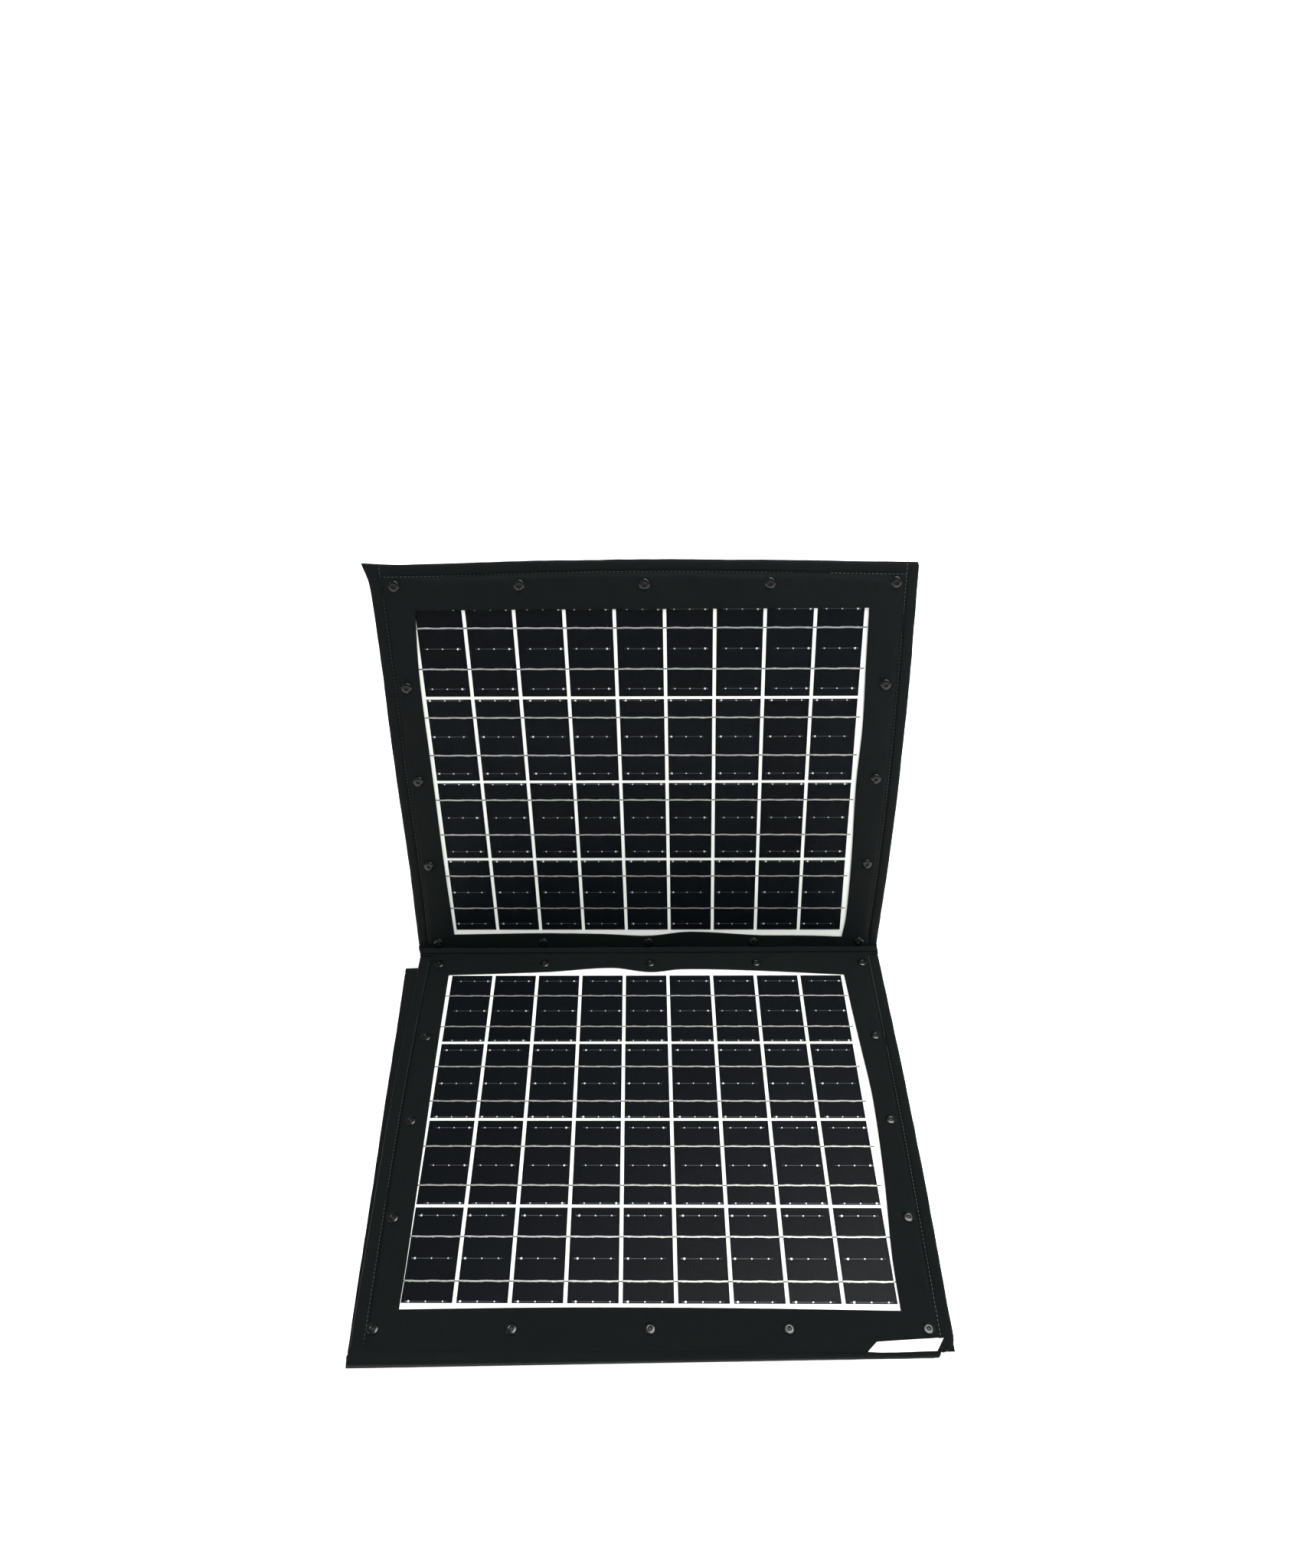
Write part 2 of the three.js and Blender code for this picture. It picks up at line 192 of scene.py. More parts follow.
upperAt = upperFold + Vector((standPivot.x, 0, 0))
leaves = {
    "upper": {
        "body": "upper_leaf", "foldAt": 9.8, "end": leafCut["freeEnd"], "lattice": -2.0, "fine": 1.0,
        "seed": 3, "place": leafPlace(upperAt, rotated(openAngle, "X"), 9.8),
        "hemmed": ("left", "right", "far"), "pull": 5.0, "askew": (-0.013, -0.005, 0.4, 0.0055),
        "window": {
            "fold": [(-192.5, 28.1), (-98, 29.3), (-46, 28), (1, 25.8), (41, 30.2), (110, 25.8), (160, 25),
            (192.8, 23.5)],
            "far": [(-193.5, 357.4), (-60, 357.2), (80, 356.8), (188.6, 356.6)],
            "left": [(28.1, -192.5), (110, -194.5), (200, -195.5), (300, -196.5), (357.4, -193.5)],
            "right": [(23.5, 191.8), (46, 194.2), (108, 194.2), (192, 191.7), (247, 192.6), (305, 190.4),
            (356.6, 188.6)],
        },
        "corners": (2, 2, 2, 0),
        "left": [(12, -229.6), (103, -228.6), (197, -229.6), (290, -229.2), (399, -229.5)],
        "right": [(12, 227.5), (100, 230.2), (191, 231.2), (286, 230), (399, 226.5)],
        "far": [(-231, 396.2), (-208, 395.4), (-78, 397.8), (0, 398.4), (115, 396.8), (231, 394)],
    },
    "lower": {
        "body": "lower_leaf", "foldAt": 2, "end": leafCut["foldedEnd"], "lattice": 2.9, "fine": 1.0,
        "seed": 11, "place": leafPlace(upperFold, rotated(math.pi, "Z"), 2),
        "hemmed": ("left", "right"), "askew": (-0.0094, -0.0035, 0.7, 0.002),
        "window": {
            "fold": [(-189.3, 33), (-94, 26.9), (-31, 25.3), (0, 28.8), (38, 23.2), (100, 28),
            (197.8, 31.7)],
            "far": [(-190.9, 364.4), (-60, 362.2), (70, 361.6), (191.5, 363)],
            "left": [(33, -189.3), (78, -191.5), (114, -193.5), (174, -196.7), (252, -195), (320, -190.8),
            (364.4, -190.6)],
            "right": [(31.7, 197.8), (123, 196.5), (222, 194.1), (321, 191.9), (363, 191.5)],
        },
        "corners": (2, 2, 2, 11),
        "left": [(4, -226.5), (107, -228), (199, -228.8), (293, -228.3), (395, -227)],
        "right": [(4, 230), (113, 231), (213, 229.6), (306, 226.8), (395, 223.8)],
        "far": [(-231, 394.5), (231, 394.5)],
    },
}
leaves["third"] = {
    **leaves["upper"], "body": "third_leaf", "foldAt": 12, "end": leafCut["foldedEnd"], "lattice": 0,
    "fine": 0.5, "seed": 23, "hemmed": ("left", "right"), "corners": (2, 2, 11, 2), "pull": 0,
    "askew": (0, 0, 0, 0), "left": [(14, -231), (395, -225.5)],
    "right": [(14, 231), (300, 229), (395, 220)],
    "far": [(-231, 391), (0, 394), (231, 394.5)],
    "place": leafPlace(underFold, rotated(underSkew, "Z") @ rotated(math.pi, "X"),
    12),
}
leaves["fourth"] = {
    **leaves["lower"], "body": "fourth_leaf", "foldAt": 12, "lattice": 0, "fine": 0.5, "seed": 31,
    "askew": (0, 0, 0, 0), "hemmed": ("left", "right", "far"), "corners": (2, 2, 2, 11),
    "left": [(14, -231), (300, -229), (395, -220)], "right": [(14, 231), (395, 225.5)],
    "far": [(-231, 394.5), (0, 393), (231, 387.5)],
    "place": leafPlace(underFold, rotated(underSkew + math.pi, "Z"), 12),
}

# ---- materials


def newMaterial(name, colour, roughness, **values):
    material = bpy.data.materials.new(name)
    material.use_nodes = True
    shader = material.node_tree.nodes["Principled BSDF"]
    shader.inputs["Base Color"].default_value = linearColour(colour)
    shader.inputs["Roughness"].default_value = roughness
    for key, value in values.items():
        shader.inputs[key].default_value = value
    return material, material.node_tree, shader


def mixColours(tree, factor, dark, light):
    mix = addNode(tree, "ShaderNodeMix", {"data_type": "RGBA"})
    mix.inputs[6].default_value = linearColour(dark)
    mix.inputs[7].default_value = linearColour(light)
    tree.links.new(factor, mix.inputs[0])
    return mix.outputs[2]


def maths(tree, operation, first, second=0.0):
    node = addNode(tree, "ShaderNodeMath", {"operation": operation})
    for socket, value in zip(node.inputs, (first, second)):
        if isinstance(value, (int, float)):
            socket.default_value = value
        else:
            tree.links.new(value, socket)
    return node.outputs[0]


def scaled(tree, source, perMetre):
    node = addNode(tree, "ShaderNodeVectorMath", {"operation": "SCALE"})
    tree.links.new(source, node.inputs[0])
    node.inputs["Scale"].default_value = perMetre
    return node.outputs[0]


def grain(tree, place, size, detail=2.0):
    settings = {"Scale": 1 / (size * mm), "Detail": detail}
    return addNode(tree, "ShaderNodeTexNoise", settings, {"Vector": place}).outputs[0]


def objectPlace(tree):
    return addNode(tree, "ShaderNodeTexCoord").outputs["Object"]


def bumped(tree, shader, height, distance, strength=1.0):
    node = addNode(tree, "ShaderNodeBump", {"Strength": strength, "Distance": distance}, {"Height": height})
    tree.links.new(node.outputs[0], shader.inputs["Normal"])


# Woven polyester, coated on the back: matt black with a grey-green cast. The weave is drawn 0.95 mm apart,
# coarser than such cloth has, because anything finer is lost at this size.
def wovenCloth():
    threadGap = 0.95
    material, tree, shader = newMaterial("woven polyester black", "#101312", 0.5,
        **{"Specular IOR Level": 0.07})
    place = addNode(tree, "ShaderNodeUVMap", {"uv_map": "cut"}).outputs[0]
    split = addNode(tree, "ShaderNodeSeparateXYZ",
        links={0: scaled(tree, place, 1 / (threadGap * mm))}).outputs
    waves = [maths(tree, "SINE", maths(tree, "MULTIPLY", split[k], 2 * math.pi)) for k in (0, 1)]
    weave = maths(tree, "MULTIPLY", waves[0], waves[1])
    fuzz, patches = grain(tree, place, 1.7, 3.0), grain(tree, place, 60)
    tone = maths(tree, "ADD", maths(tree, "MULTIPLY", weave, 0.16), maths(tree, "MULTIPLY", fuzz, 0.55))
    tone = maths(tree, "ADD", tone, maths(tree, "MULTIPLY", patches, 0.45))
    tree.links.new(mixColours(tree, tone, "#020404", "#080f0e"), shader.inputs["Base Color"])
    height = maths(tree, "ADD", weave, maths(tree, "MULTIPLY", fuzz, 0.8))
    bumped(tree, shader, height, 0.10 * mm)
    return material


# Twisted polyester thread, smoother than the cloth, so each stitch catches a small light.
def sewingThread():
    material, tree, shader = newMaterial("polyester thread black", "#1b1e1d", 0.5, **{"Sheen Weight": 0.2})
    bumped(tree, shader, grain(tree, objectPlace(tree), 0.6), 0.05 * mm)
    return material


# Textured monocrystalline silicon under a nitride coat: blue-black, with printed fingers across the ribbons.
# They are drawn wider apart than such cells have them, so that they still show as faint lines.
def siliconCell():
    fingerGap = 2.6
    material, tree, shader = newMaterial("monocrystalline cell", "#06090d", 0.42,
        **{"Specular IOR Level": 0.045})
    place = addNode(tree, "ShaderNodeUVMap", {"uv_map": "cut"}).outputs[0]
    split = addNode(tree, "ShaderNodeSeparateXYZ", links={0: place}).outputs
    along = maths(tree, "MULTIPLY", split[0], 1 / (fingerGap * mm))
    finger = maths(tree, "GREATER_THAN", maths(tree, "FRACT", along), 0.82)
    cellTone = addNode(tree, "ShaderNodeAttribute", {"attribute_name": "tone"}).outputs["Fac"]
    clouding = maths(tree, "MULTIPLY", grain(tree, place, 9, 4.0), 0.35)
    tone = maths(tree, "ADD", clouding, maths(tree, "MULTIPLY", cellTone, 0.45))
    base = mixColours(tree, tone, "#010204", "#04080c")
    lines = addNode(tree, "ShaderNodeMix", {"data_type": "RGBA", "blend_type": "ADD"})
    tree.links.new(maths(tree, "MULTIPLY", finger, 0.004), lines.inputs[0])
    tree.links.new(base, lines.inputs[6])
    lines.inputs[7].default_value = (0.7, 0.75, 0.75, 1)
    tree.links.new(lines.outputs[2], shader.inputs["Base Color"])
    return material


# White fluoropolymer backsheet, embossed by the laminating press: satin, very slightly warm and uneven.
def whiteBacksheet():
    material, tree, shader = newMaterial("white backsheet laminate", "#f1f3ef", 0.35,
        **{"Specular IOR Level": 0.4})
    place = objectPlace(tree)
    cloud = mixColours(tree, grain(tree, place, 35), "#d9ddd7", "#e7eae4")
    tree.links.new(cloud, shader.inputs["Base Color"])
    bumped(tree, shader, grain(tree, place, 1.5), 0.04 * mm)
    return material


# Tinned copper ribbon, dipped and soldered by hand: silvery, dull, with brighter solder.
def tinnedRibbon():
    material, tree, shader = newMaterial("tinned copper ribbon", "#b9bab6", 0.42, Metallic=0.85)
    blots = mixColours(tree, grain(tree, objectPlace(tree), 3.5, 3.0), "#6f706d", "#b9bab5")
    tree.links.new(blots, shader.inputs["Base Color"])
    return material


def plainFinish(name, colour, roughness, speckle, depth, **values):
    material, tree, shader = newMaterial(name, colour, roughness, **values)
    bumped(tree, shader, grain(tree, objectPlace(tree), speckle, 3.0), depth * mm)
    return material


cloth = wovenCloth()
thread = sewingThread()
cell = siliconCell()
backsheet = whiteBacksheet()
ribbon = tinnedRibbon()
pad = plainFinish("screen printed silver pad", "#c9cbc8", 0.4, 1.0, 0.02, Metallic=0.5)
busPrint = plainFinish("screen printed silver line", "#3d4244", 0.5, 1.0, 0.02, Metallic=0.3)
enamel = plainFinish("black enamel on aluminium", "#040505", 0.2, 2.0, 0.03, **{"Specular IOR Level": 0.3})
# The mandrel steel is darkened well past plain steel so the rivet hole reads dark: partly dull steel grey,
# partly painted shade of the hole. The junction box screws use the same material.
mandrel = plainFinish("snapped steel mandrel with painted hole shade", "#2a2a2b", 0.5, 0.6, 0.05, Metallic=1.0)
board = plainFinish("glass-fibre board", "#b5ad8c", 0.6, 1.2, 0.05)
tube = plainFinish("satin anodised aluminium", "#b4b6b8", 0.32, 0.8, 0.01, Metallic=1.0)
rubber = plainFinish("moulded rubber", "#161616", 0.75, 0.9, 0.08)
plastic = plainFinish("spark-eroded abs moulding", "#1b1c1d", 0.5, 0.8, 0.06)
labelTape = plainFinish("white satin label tape", "#e6e6e1", 0.5, 0.5, 0.05, **{"Sheen Weight": 0.1})
film = plainFinish("clear laminating film", "#20262a", 0.2, 1.5, 0.01,
    **{"Alpha": 0.02, "Specular IOR Level": 0.2})
print("materials made")

# ---- camera, floor and lights

view = {"place": (0.0081, -0.5231, 0.8410), "down": 43.83, "turn": 0.90, "roll": -0.94, "lens": 25.13,
    "shift": 0.0458}
cameraData = bpy.data.cameras.new("camera")
cameraData.lens = view["lens"]
cameraData.shift_y = view["shift"]
camera = bpy.data.objects.new("camera", cameraData)
scene.collection.objects.link(camera)
facing = rotated(math.radians(view["turn"]), "Z") @ rotated(math.radians(90 - view["down"]), "X")
facing = facing @ rotated(math.radians(view["roll"]), "Z")
camera.matrix_world = Matrix.Translation(view["place"]) @ facing
scene.camera = camera

floorHalf = 14
floorMaterial, floorTree, floorShader = newMaterial("pale floor", "#f6f6f6", 0.9, **{
    "Emission Color": (1, 1, 1, 1), "Emission Strength": 0.8, "Specular IOR Level": 0.0})
floorCorners = [(x * floorHalf, y * floorHalf, 0) for x, y in ((-1, -1), (1, -1), (1, 1), (-1, 1))]
floor = newObject("floor", floorCorners, [(0, 1, 2, 3)], floorMaterial)
floor.location.z = -0.0002

scene.view_settings.view_transform = "Standard"
world = bpy.data.worlds.new("studio")
scene.world = world
world.use_nodes = True
world.node_tree.nodes["Background"].inputs[0].default_value = linearColour("#fdfeff")
world.node_tree.nodes["Background"].inputs[1].default_value = 0.42

lamps = {
    "keyLight": {"at": (0.5, 0.12, 1.9), "size": (1.2, 1.1), "watts": 68, "target": (0.1, -0.1, 0)},
    "frontLight": {"at": (1.3, -1.3, 1.5), "size": (0.4, 0.4), "watts": 10, "target": (0, 0.2, 0.15)},
    "fillLight": {"at": (-1.5, -0.6, 1.3), "size": (0.9, 0.9), "watts": 4, "target": (0, 0.1, 0.1)},
}
for name, lamp in lamps.items():
    data = bpy.data.lights.new(name, "AREA")
    data.shape = "RECTANGLE"
    data.size, data.size_y = lamp["size"]
    data.energy = lamp["watts"]
    light = bpy.data.objects.new(name, data)
    scene.collection.objects.link(light)
    away = Vector(lamp["at"]) - Vector(lamp["target"])
    light.matrix_world = Matrix.Translation(lamp["at"]) @ away.to_track_quat("Z", "Y").to_matrix().to_4x4()
print("camera, floor and lights set")

# ---- geometry nodes: copies of a part on points, and stitches along a path


def treeSocket(tree, name, kind, inOut="INPUT", value=None):
    socket = tree.interface.new_socket(name=name, in_out=inOut, socket_type=kind)
    if value is not None:
        socket.default_value = value
    return socket


def copiesTree():
    tree = bpy.data.node_groups.new("copies on points", "GeometryNodeTree")
    treeSocket(tree, "Points", "NodeSocketGeometry")
    treeSocket(tree, "Part", "NodeSocketObject")
    treeSocket(tree, "Finish", "NodeSocketMaterial")
    treeSocket(tree, "Wobble", "NodeSocketFloat", value=0.0)
    treeSocket(tree, "Seed", "NodeSocketInt", value=0)
    treeSocket(tree, "Copies", "NodeSocketGeometry", "OUTPUT")
    start = addNode(tree, "NodeGroupInput").outputs
    part = addNode(tree, "GeometryNodeObjectInfo", links={"Object": start["Part"]})
    turn = addNode(tree, "GeometryNodeInputNamedAttribute", {"data_type": "FLOAT", "Name": "turn"})
    spread = addNode(tree, "ShaderNodeMath", {"operation": "MULTIPLY", 1: -1.0}, {0: start["Wobble"]})
    jitter = addNode(tree, "FunctionNodeRandomValue", {"data_type": "FLOAT"}, {"Seed": start["Seed"]})
    tree.links.new(spread.outputs[0], jitter.inputs[2])
    tree.links.new(start["Wobble"], jitter.inputs[3])
    angle = addNode(tree, "ShaderNodeMath", {"operation": "ADD"})
    tree.links.new(turn.outputs[0], angle.inputs[0])
    tree.links.new(jitter.outputs[1], angle.inputs[1])
    rotation = addNode(tree, "ShaderNodeCombineXYZ", links={"Z": angle.outputs[0]})
    place = addNode(tree, "GeometryNodeInstanceOnPoints", links={
        "Points": start["Points"], "Instance": part.outputs["Geometry"], "Rotation": rotation.outputs[0]})
    tone = addNode(tree, "FunctionNodeRandomValue", {"data_type": "FLOAT"}, {"Seed": start["Seed"]})
    keep = addNode(tree, "GeometryNodeStoreNamedAttribute",
        {"data_type": "FLOAT", "domain": "INSTANCE", "Name": "tone"})
    tree.links.new(place.outputs[0], keep.inputs["Geometry"])
    tree.links.new(tone.outputs[1], keep.inputs["Value"])
    real = addNode(tree, "GeometryNodeRealizeInstances", links={"Geometry": keep.outputs[0]})
    finish = addNode(tree, "GeometryNodeSetMaterial",
        links={"Geometry": real.outputs[0], "Material": start["Finish"]})
    addNode(tree, "NodeGroupOutput", links={0: finish.outputs[0]})
    return tree


def stitchTree():
    tree = bpy.data.node_groups.new("stitches on a path", "GeometryNodeTree")
    treeSocket(tree, "Path", "NodeSocketGeometry")
    treeSocket(tree, "Pitch", "NodeSocketFloat", value=0.0034)
    treeSocket(tree, "Length", "NodeSocketFloat", value=0.0024)
    treeSocket(tree, "Thickness", "NodeSocketFloat", value=0.0006)
    treeSocket(tree, "Thread", "NodeSocketMaterial")
    treeSocket(tree, "Stitches", "NodeSocketGeometry", "OUTPUT")
    start = addNode(tree, "NodeGroupInput").outputs
    curve = addNode(tree, "GeometryNodeMeshToCurve", links={"Mesh": start["Path"]})
    even = addNode(tree, "GeometryNodeResampleCurve", {"mode": "LENGTH"},
        {"Curve": curve.outputs[0], "Length": start["Pitch"]})
    ball = addNode(tree, "GeometryNodeMeshUVSphere", {"Segments": 6, "Rings": 4, "Radius": 0.5})
    size = addNode(tree, "ShaderNodeCombineXYZ", links={
        "X": start["Thickness"], "Y": start["Thickness"], "Z": start["Length"]})
    shape = addNode(tree, "GeometryNodeTransform",
        links={"Geometry": ball.outputs[0], "Scale": size.outputs[0]})
    tangent = addNode(tree, "GeometryNodeInputTangent")
    turned = addNode(tree, "FunctionNodeAlignEulerToVector", {"axis": "Z"}, {"Vector": tangent.outputs[0]})
    place = addNode(tree, "GeometryNodeInstanceOnPoints", links={
        "Points": even.outputs[0], "Instance": shape.outputs[0], "Rotation": turned.outputs[0]})
    real = addNode(tree, "GeometryNodeRealizeInstances", links={"Geometry": place.outputs[0]})
    finish = addNode(tree, "GeometryNodeSetMaterial",
        links={"Geometry": real.outputs[0], "Material": start["Thread"]})
    addNode(tree, "NodeGroupOutput", links={0: finish.outputs[0]})
    return tree


copies = copiesTree()
stitches = stitchTree()


def growPiece(name, source, tree, values):
    modifier = source.modifiers.new("grow", "NODES")
    modifier.node_group = tree
    for socket in tree.interface.items_tree:
        if socket.in_out == "INPUT" and socket.name in values:
            modifier[socket.identifier] = values[socket.name]
    bpy.context.view_layer.update()
    grown = source.evaluated_get(bpy.context.evaluated_depsgraph_get())
    mesh = bpy.data.meshes.new_from_object(grown)
    mesh.name = name
    bpy.data.objects.remove(source)
    piece = bpy.data.objects.new(name, mesh)
    scene.collection.objects.link(piece)
    return piece


def copyOnPoints(name, part, points, finish, wobble=0.0, seed=1, turns=None):
    source = newObject(name + "_points", [Vector(p) for p in points], [])
    turn = source.data.attributes.new("turn", "FLOAT", "POINT")
    turn.data.foreach_set("value", turns or [0.0] * len(points))
    piece = growPiece(name, source, copies, {"Part": part, "Finish": finish, "Wobble": wobble,
        "Seed": seed})
    bpy.data.objects.remove(part)
    return piece


def sewPath(name, lines, pitch=3.4):
    verts, edges = [], []
    for line in lines:
        first = len(verts)
        verts += [Vector(p) for p in line]
        edges += [(i, i + 1) for i in range(first, len(verts) - 1)]
    source = newObject(name + "_path", verts, [], edges=edges)
    return growPiece(name, source, stitches, {"Pitch": pitch * mm, "Thread": thread})


def turned(name, profile, steps):
    verts = []
    for k in range(steps):
        angle = 2 * math.pi * k / steps
        verts += [(r * math.cos(angle) * mm, r * math.sin(angle) * mm, z * mm) for r, z in profile]
    count = len(profile)
    faces = []
    for k in range(steps):
        a, b = k * count, (k + 1) % steps * count
        faces += [(a + i, b + i, b + i + 1, a + i + 1) for i in range(count - 1)]
    piece = newObject(name, verts, faces)
    tidy = bmesh.new()
    tidy.from_mesh(piece.data)
    bmesh.ops.remove_doubles(tidy, verts=tidy.verts, dist=1e-7)
    bmesh.ops.holes_fill(tidy, edges=tidy.edges)
    bmesh.ops.recalc_face_normals(tidy, faces=tidy.faces)
    tidy.to_mesh(piece.data)
    tidy.free()
    shadeSmooth(piece)
    return piece


def plate(name, outline, low, high, bevel):
    tidy = bmesh.new()
    base = [tidy.verts.new((x * mm, y * mm, low)) for x, y in outline]
    face = tidy.faces.new(base)
    lifted = bmesh.ops.extrude_face_region(tidy, geom=[face])
    top = [v for v in lifted["geom"] if isinstance(v, bmesh.types.BMVert)]
    bmesh.ops.translate(tidy, verts=top, vec=(0, 0, high - low))
    bmesh.ops.recalc_face_normals(tidy, faces=tidy.faces)
    if bevel:
        rim = [e for e in tidy.edges if all(abs(v.co.z - high) < 1e-7 for v in e.verts)]
        bmesh.ops.bevel(tidy, geom=rim, offset=bevel * mm, segments=1, affect="EDGES")
    piece = newObject(name, [], [])
    tidy.to_mesh(piece.data)
    tidy.free()
    return piece


# ---- the cells: cut pieces in rows, with two ribbons and three printed lines on each

cellSet = {"columns": 9, "rows": 4, "wide": 39.7, "long": 79.4, "columnPitch": 42.7, "rowPitch": 82,
    "firstRow": 32.1}
lineAt = {"ribbons": (0.319, 0.781), "pads": (0.09, 0.549, 0.985)}
padAt = (-15.0, -1.8, 11.4)


# Where a leaf's block of cells lies: lean and tilt are slopes out of square, slide is in mm, and closer
# narrows it. Zeros lay the block square and even.
def cellSkew(leaf):
    lean, tilt, slide, closer = leaf["askew"]
    middle = cellSet["firstRow"] + (cellSet["rows"] * cellSet["rowPitch"] - cellSet["long"]) / 2
    return Matrix(((1 - closer, lean, 0, -lean * middle * mm), (tilt, 1, 0, slide * mm), (0, 0, 1, 0),
        (0, 0, 0, 1)))


def cellCentres(leaf):
    for row in range(cellSet["rows"]):
        for column in range(cellSet["columns"]):
            x = leaf["lattice"] + (column - (cellSet["columns"] - 1) / 2) * cellSet["columnPitch"]
            yield row, column, x, cellSet["firstRow"] + row * cellSet["rowPitch"] + cellSet["long"] / 2


def rectangle(x0, x1, y0, y1):
    return [(x0, y0), (x1, y0), (x1, y1), (x0, y1)]


def joinPieces(name, parts):
    verts, faces = [], []
    for part in parts:
        first = len(verts)
        verts += [v.co.copy() for v in part.data.vertices]
        faces += [[first + i for i in polygon.vertices] for polygon in part.data.polygons]
        bpy.data.objects.remove(part)
    return newObject(name, verts, faces)


def ribbonPart():
    reach, steps = cellSet["wide"] / 2 - 0.3, 36
    low, high = layerTop["cell"] + 0.005 * mm, layerTop["cell"] + 0.085 * mm
    upperEdge, lowerEdge = [], []
    for k in range(steps + 1):
        x = -reach + 2 * reach * k / steps
        sway = 0.16 * math.sin(x * 0.33 + 0.8) + 0.07 * math.sin(x * 1.3)
        blob = sum(bump(x - at, 0.8) for at in padAt)
        upperEdge.append((x, sway + 0.62 + 0.12 * blob))
        lowerEdge.append((x, sway - 0.62 - 0.45 * blob))
    return plate("ribbon_part", lowerEdge + upperEdge[::-1], low, high, 0)


def padPart():
    low, high = layerTop["cell"] + 0.005 * mm, layerTop["cell"] + 0.075 * mm
    dots = []
    for index, at in enumerate(padAt):
        half = 0.85 if index == 0 else 0.55
        angles = [k * math.pi / 5 for k in range(10)]
        outline = [(at + half * math.cos(a), half * 1.1 * math.sin(a)) for a in angles]
        dots.append(plate("dot", outline, low, high, 0))
    return joinPieces("pad_part", dots)


def printPart():
    low, high = layerTop["cell"] + 0.002 * mm, layerTop["cell"] + 0.03 * mm
    thin = plate("thin", rectangle(padAt[0], padAt[2] + 3.4, -0.17, 0.17), low, high, 0)
    stub = plate("stub", rectangle(padAt[0] - 2.8, padAt[0] - 0.6, -0.5, 0.5), low, high, 0)
    return joinPieces("print_part", [thin, stub])


def makeCells(name, leaf):
    centres = list(cellCentres(leaf))
    foot, top = layerTop["cellFoot"], layerTop["cell"]
    halfWide, halfLong = cellSet["wide"] / 2, cellSet["long"] / 2
    chip = plate("cell_part", rectangle(-halfWide, halfWide, -halfLong, halfLong), foot, top, 0.12)
    cells = copyOnPoints(name + "_cells", chip, [(x * mm, y * mm, 0) for _, _, x, y in centres], cell,
        0.0012, leaf["seed"])
    spots, turns = {}, {}
    for line, stagger in (("ribbons", 0), ("pads", 0.9)):
        spots[line] = [((x + (column * 37 % 5 - 2) * stagger) * mm,
            (y - halfLong + cellSet["long"] * at) * mm, 0)
            for _, column, x, y in centres for at in lineAt[line]]
        turns[line] = [row % 2 * math.pi for row, _, _, _ in centres for _ in lineAt[line]]
    ribbons, pads, prints = [
        copyOnPoints(f"{name}_{word}", part(), spots[line], finish, wobble, leaf["seed"], turns[line])
        for word, part, line, finish, wobble in (
            ("ribbons", ribbonPart, "ribbons", ribbon, 0.004), ("solder_pads", padPart, "pads", pad, 0.0),
            ("printed_lines", printPart, "pads", busPrint, 0.0))]
    tails = ribbonTails(name, leaf)
    for piece in (cells, ribbons, pads, prints, tails):
        flatMap(piece)
        placePiece(piece, leaf["place"] @ cellSkew(leaf), leaf["body"])
    return cells


# Between two cells the ribbon dips under the next one, so only a thin dull tail shows on the white.
def ribbonTails(name, leaf):
    gap = cellSet["columnPitch"] - cellSet["wide"]
    low = layerTop["cellFoot"] + 0.01 * mm
    tail = plate("tail_part", rectangle(-gap / 2 - 0.3, gap / 2 + 0.3, -0.5, 0.5), low, low + 0.12 * mm, 0)
    spots = []
    for row, column, x, y in cellCentres(leaf):
        for at in lineAt["ribbons"]:
            spotY = y + cellSet["long"] * (at - 0.5)
            for side in (1, -1) if column == 0 else (1,):
                spots.append(((x + side * cellSet["columnPitch"] / 2) * mm, spotY * mm, 0))
    return copyOnPoints(name + "_ribbon_tails", tail, spots, busPrint, 0.0, leaf["seed"])


# ---- the cloth front of a leaf: a frame round a wavy window, flat over the board, with a sewn hem outside it

clothCut = {"thick": 0.7, "hem": 10, "hemHigh": 2.7, "boardEdge": 14.2, "windowEdge": 1.4, "turnIn": 6,
    "windowWide": 388, "windowLong": 333}
rivetSpots = {}
for name in ("upper", "lower"):
    inverse = leaves[name]["place"].inverted()
    rivetSpots[name] = []
    for number in range(1, 17):
        low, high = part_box(f"{name}_rivet_{number:02d}")
        rivetSpots[name].append((inverse @ ((low + high) / 2)) / mm)
rivetSpots["third"], rivetSpots["fourth"] = rivetSpots["upper"], rivetSpots["lower"]


def leafEdges(leaf):
    return leaf["foldAt"] + leafCut["foldClear"], leaf["end"]


def leafSide(leaf, side, at):
    return throughPoints(leaf[side], at)


def hemDistance(leaf, x, y):
    reach = {"left": x - leafSide(leaf, "left", y), "right": leafSide(leaf, "right", y) - x,
             "far": leafSide(leaf, "far", x) - y}
    return max(min(reach[side] for side in leaf["hemmed"]), 0)


def clothWaves(leaf, x, y):
    seed = leaf["seed"] * 7.3
    broad = noise.noise(Vector((x / 46 + seed, y / 46, 0.3)))
    slanted = noise.noise(Vector(((x + 0.6 * y) / 17 + seed, (y - 0.4 * x) / 60, 1.7)))
    fine = noise.noise(Vector((x / 9, y / 9, seed)))
    return 0.7 * broad + 0.55 * slanted + 0.1 * fine


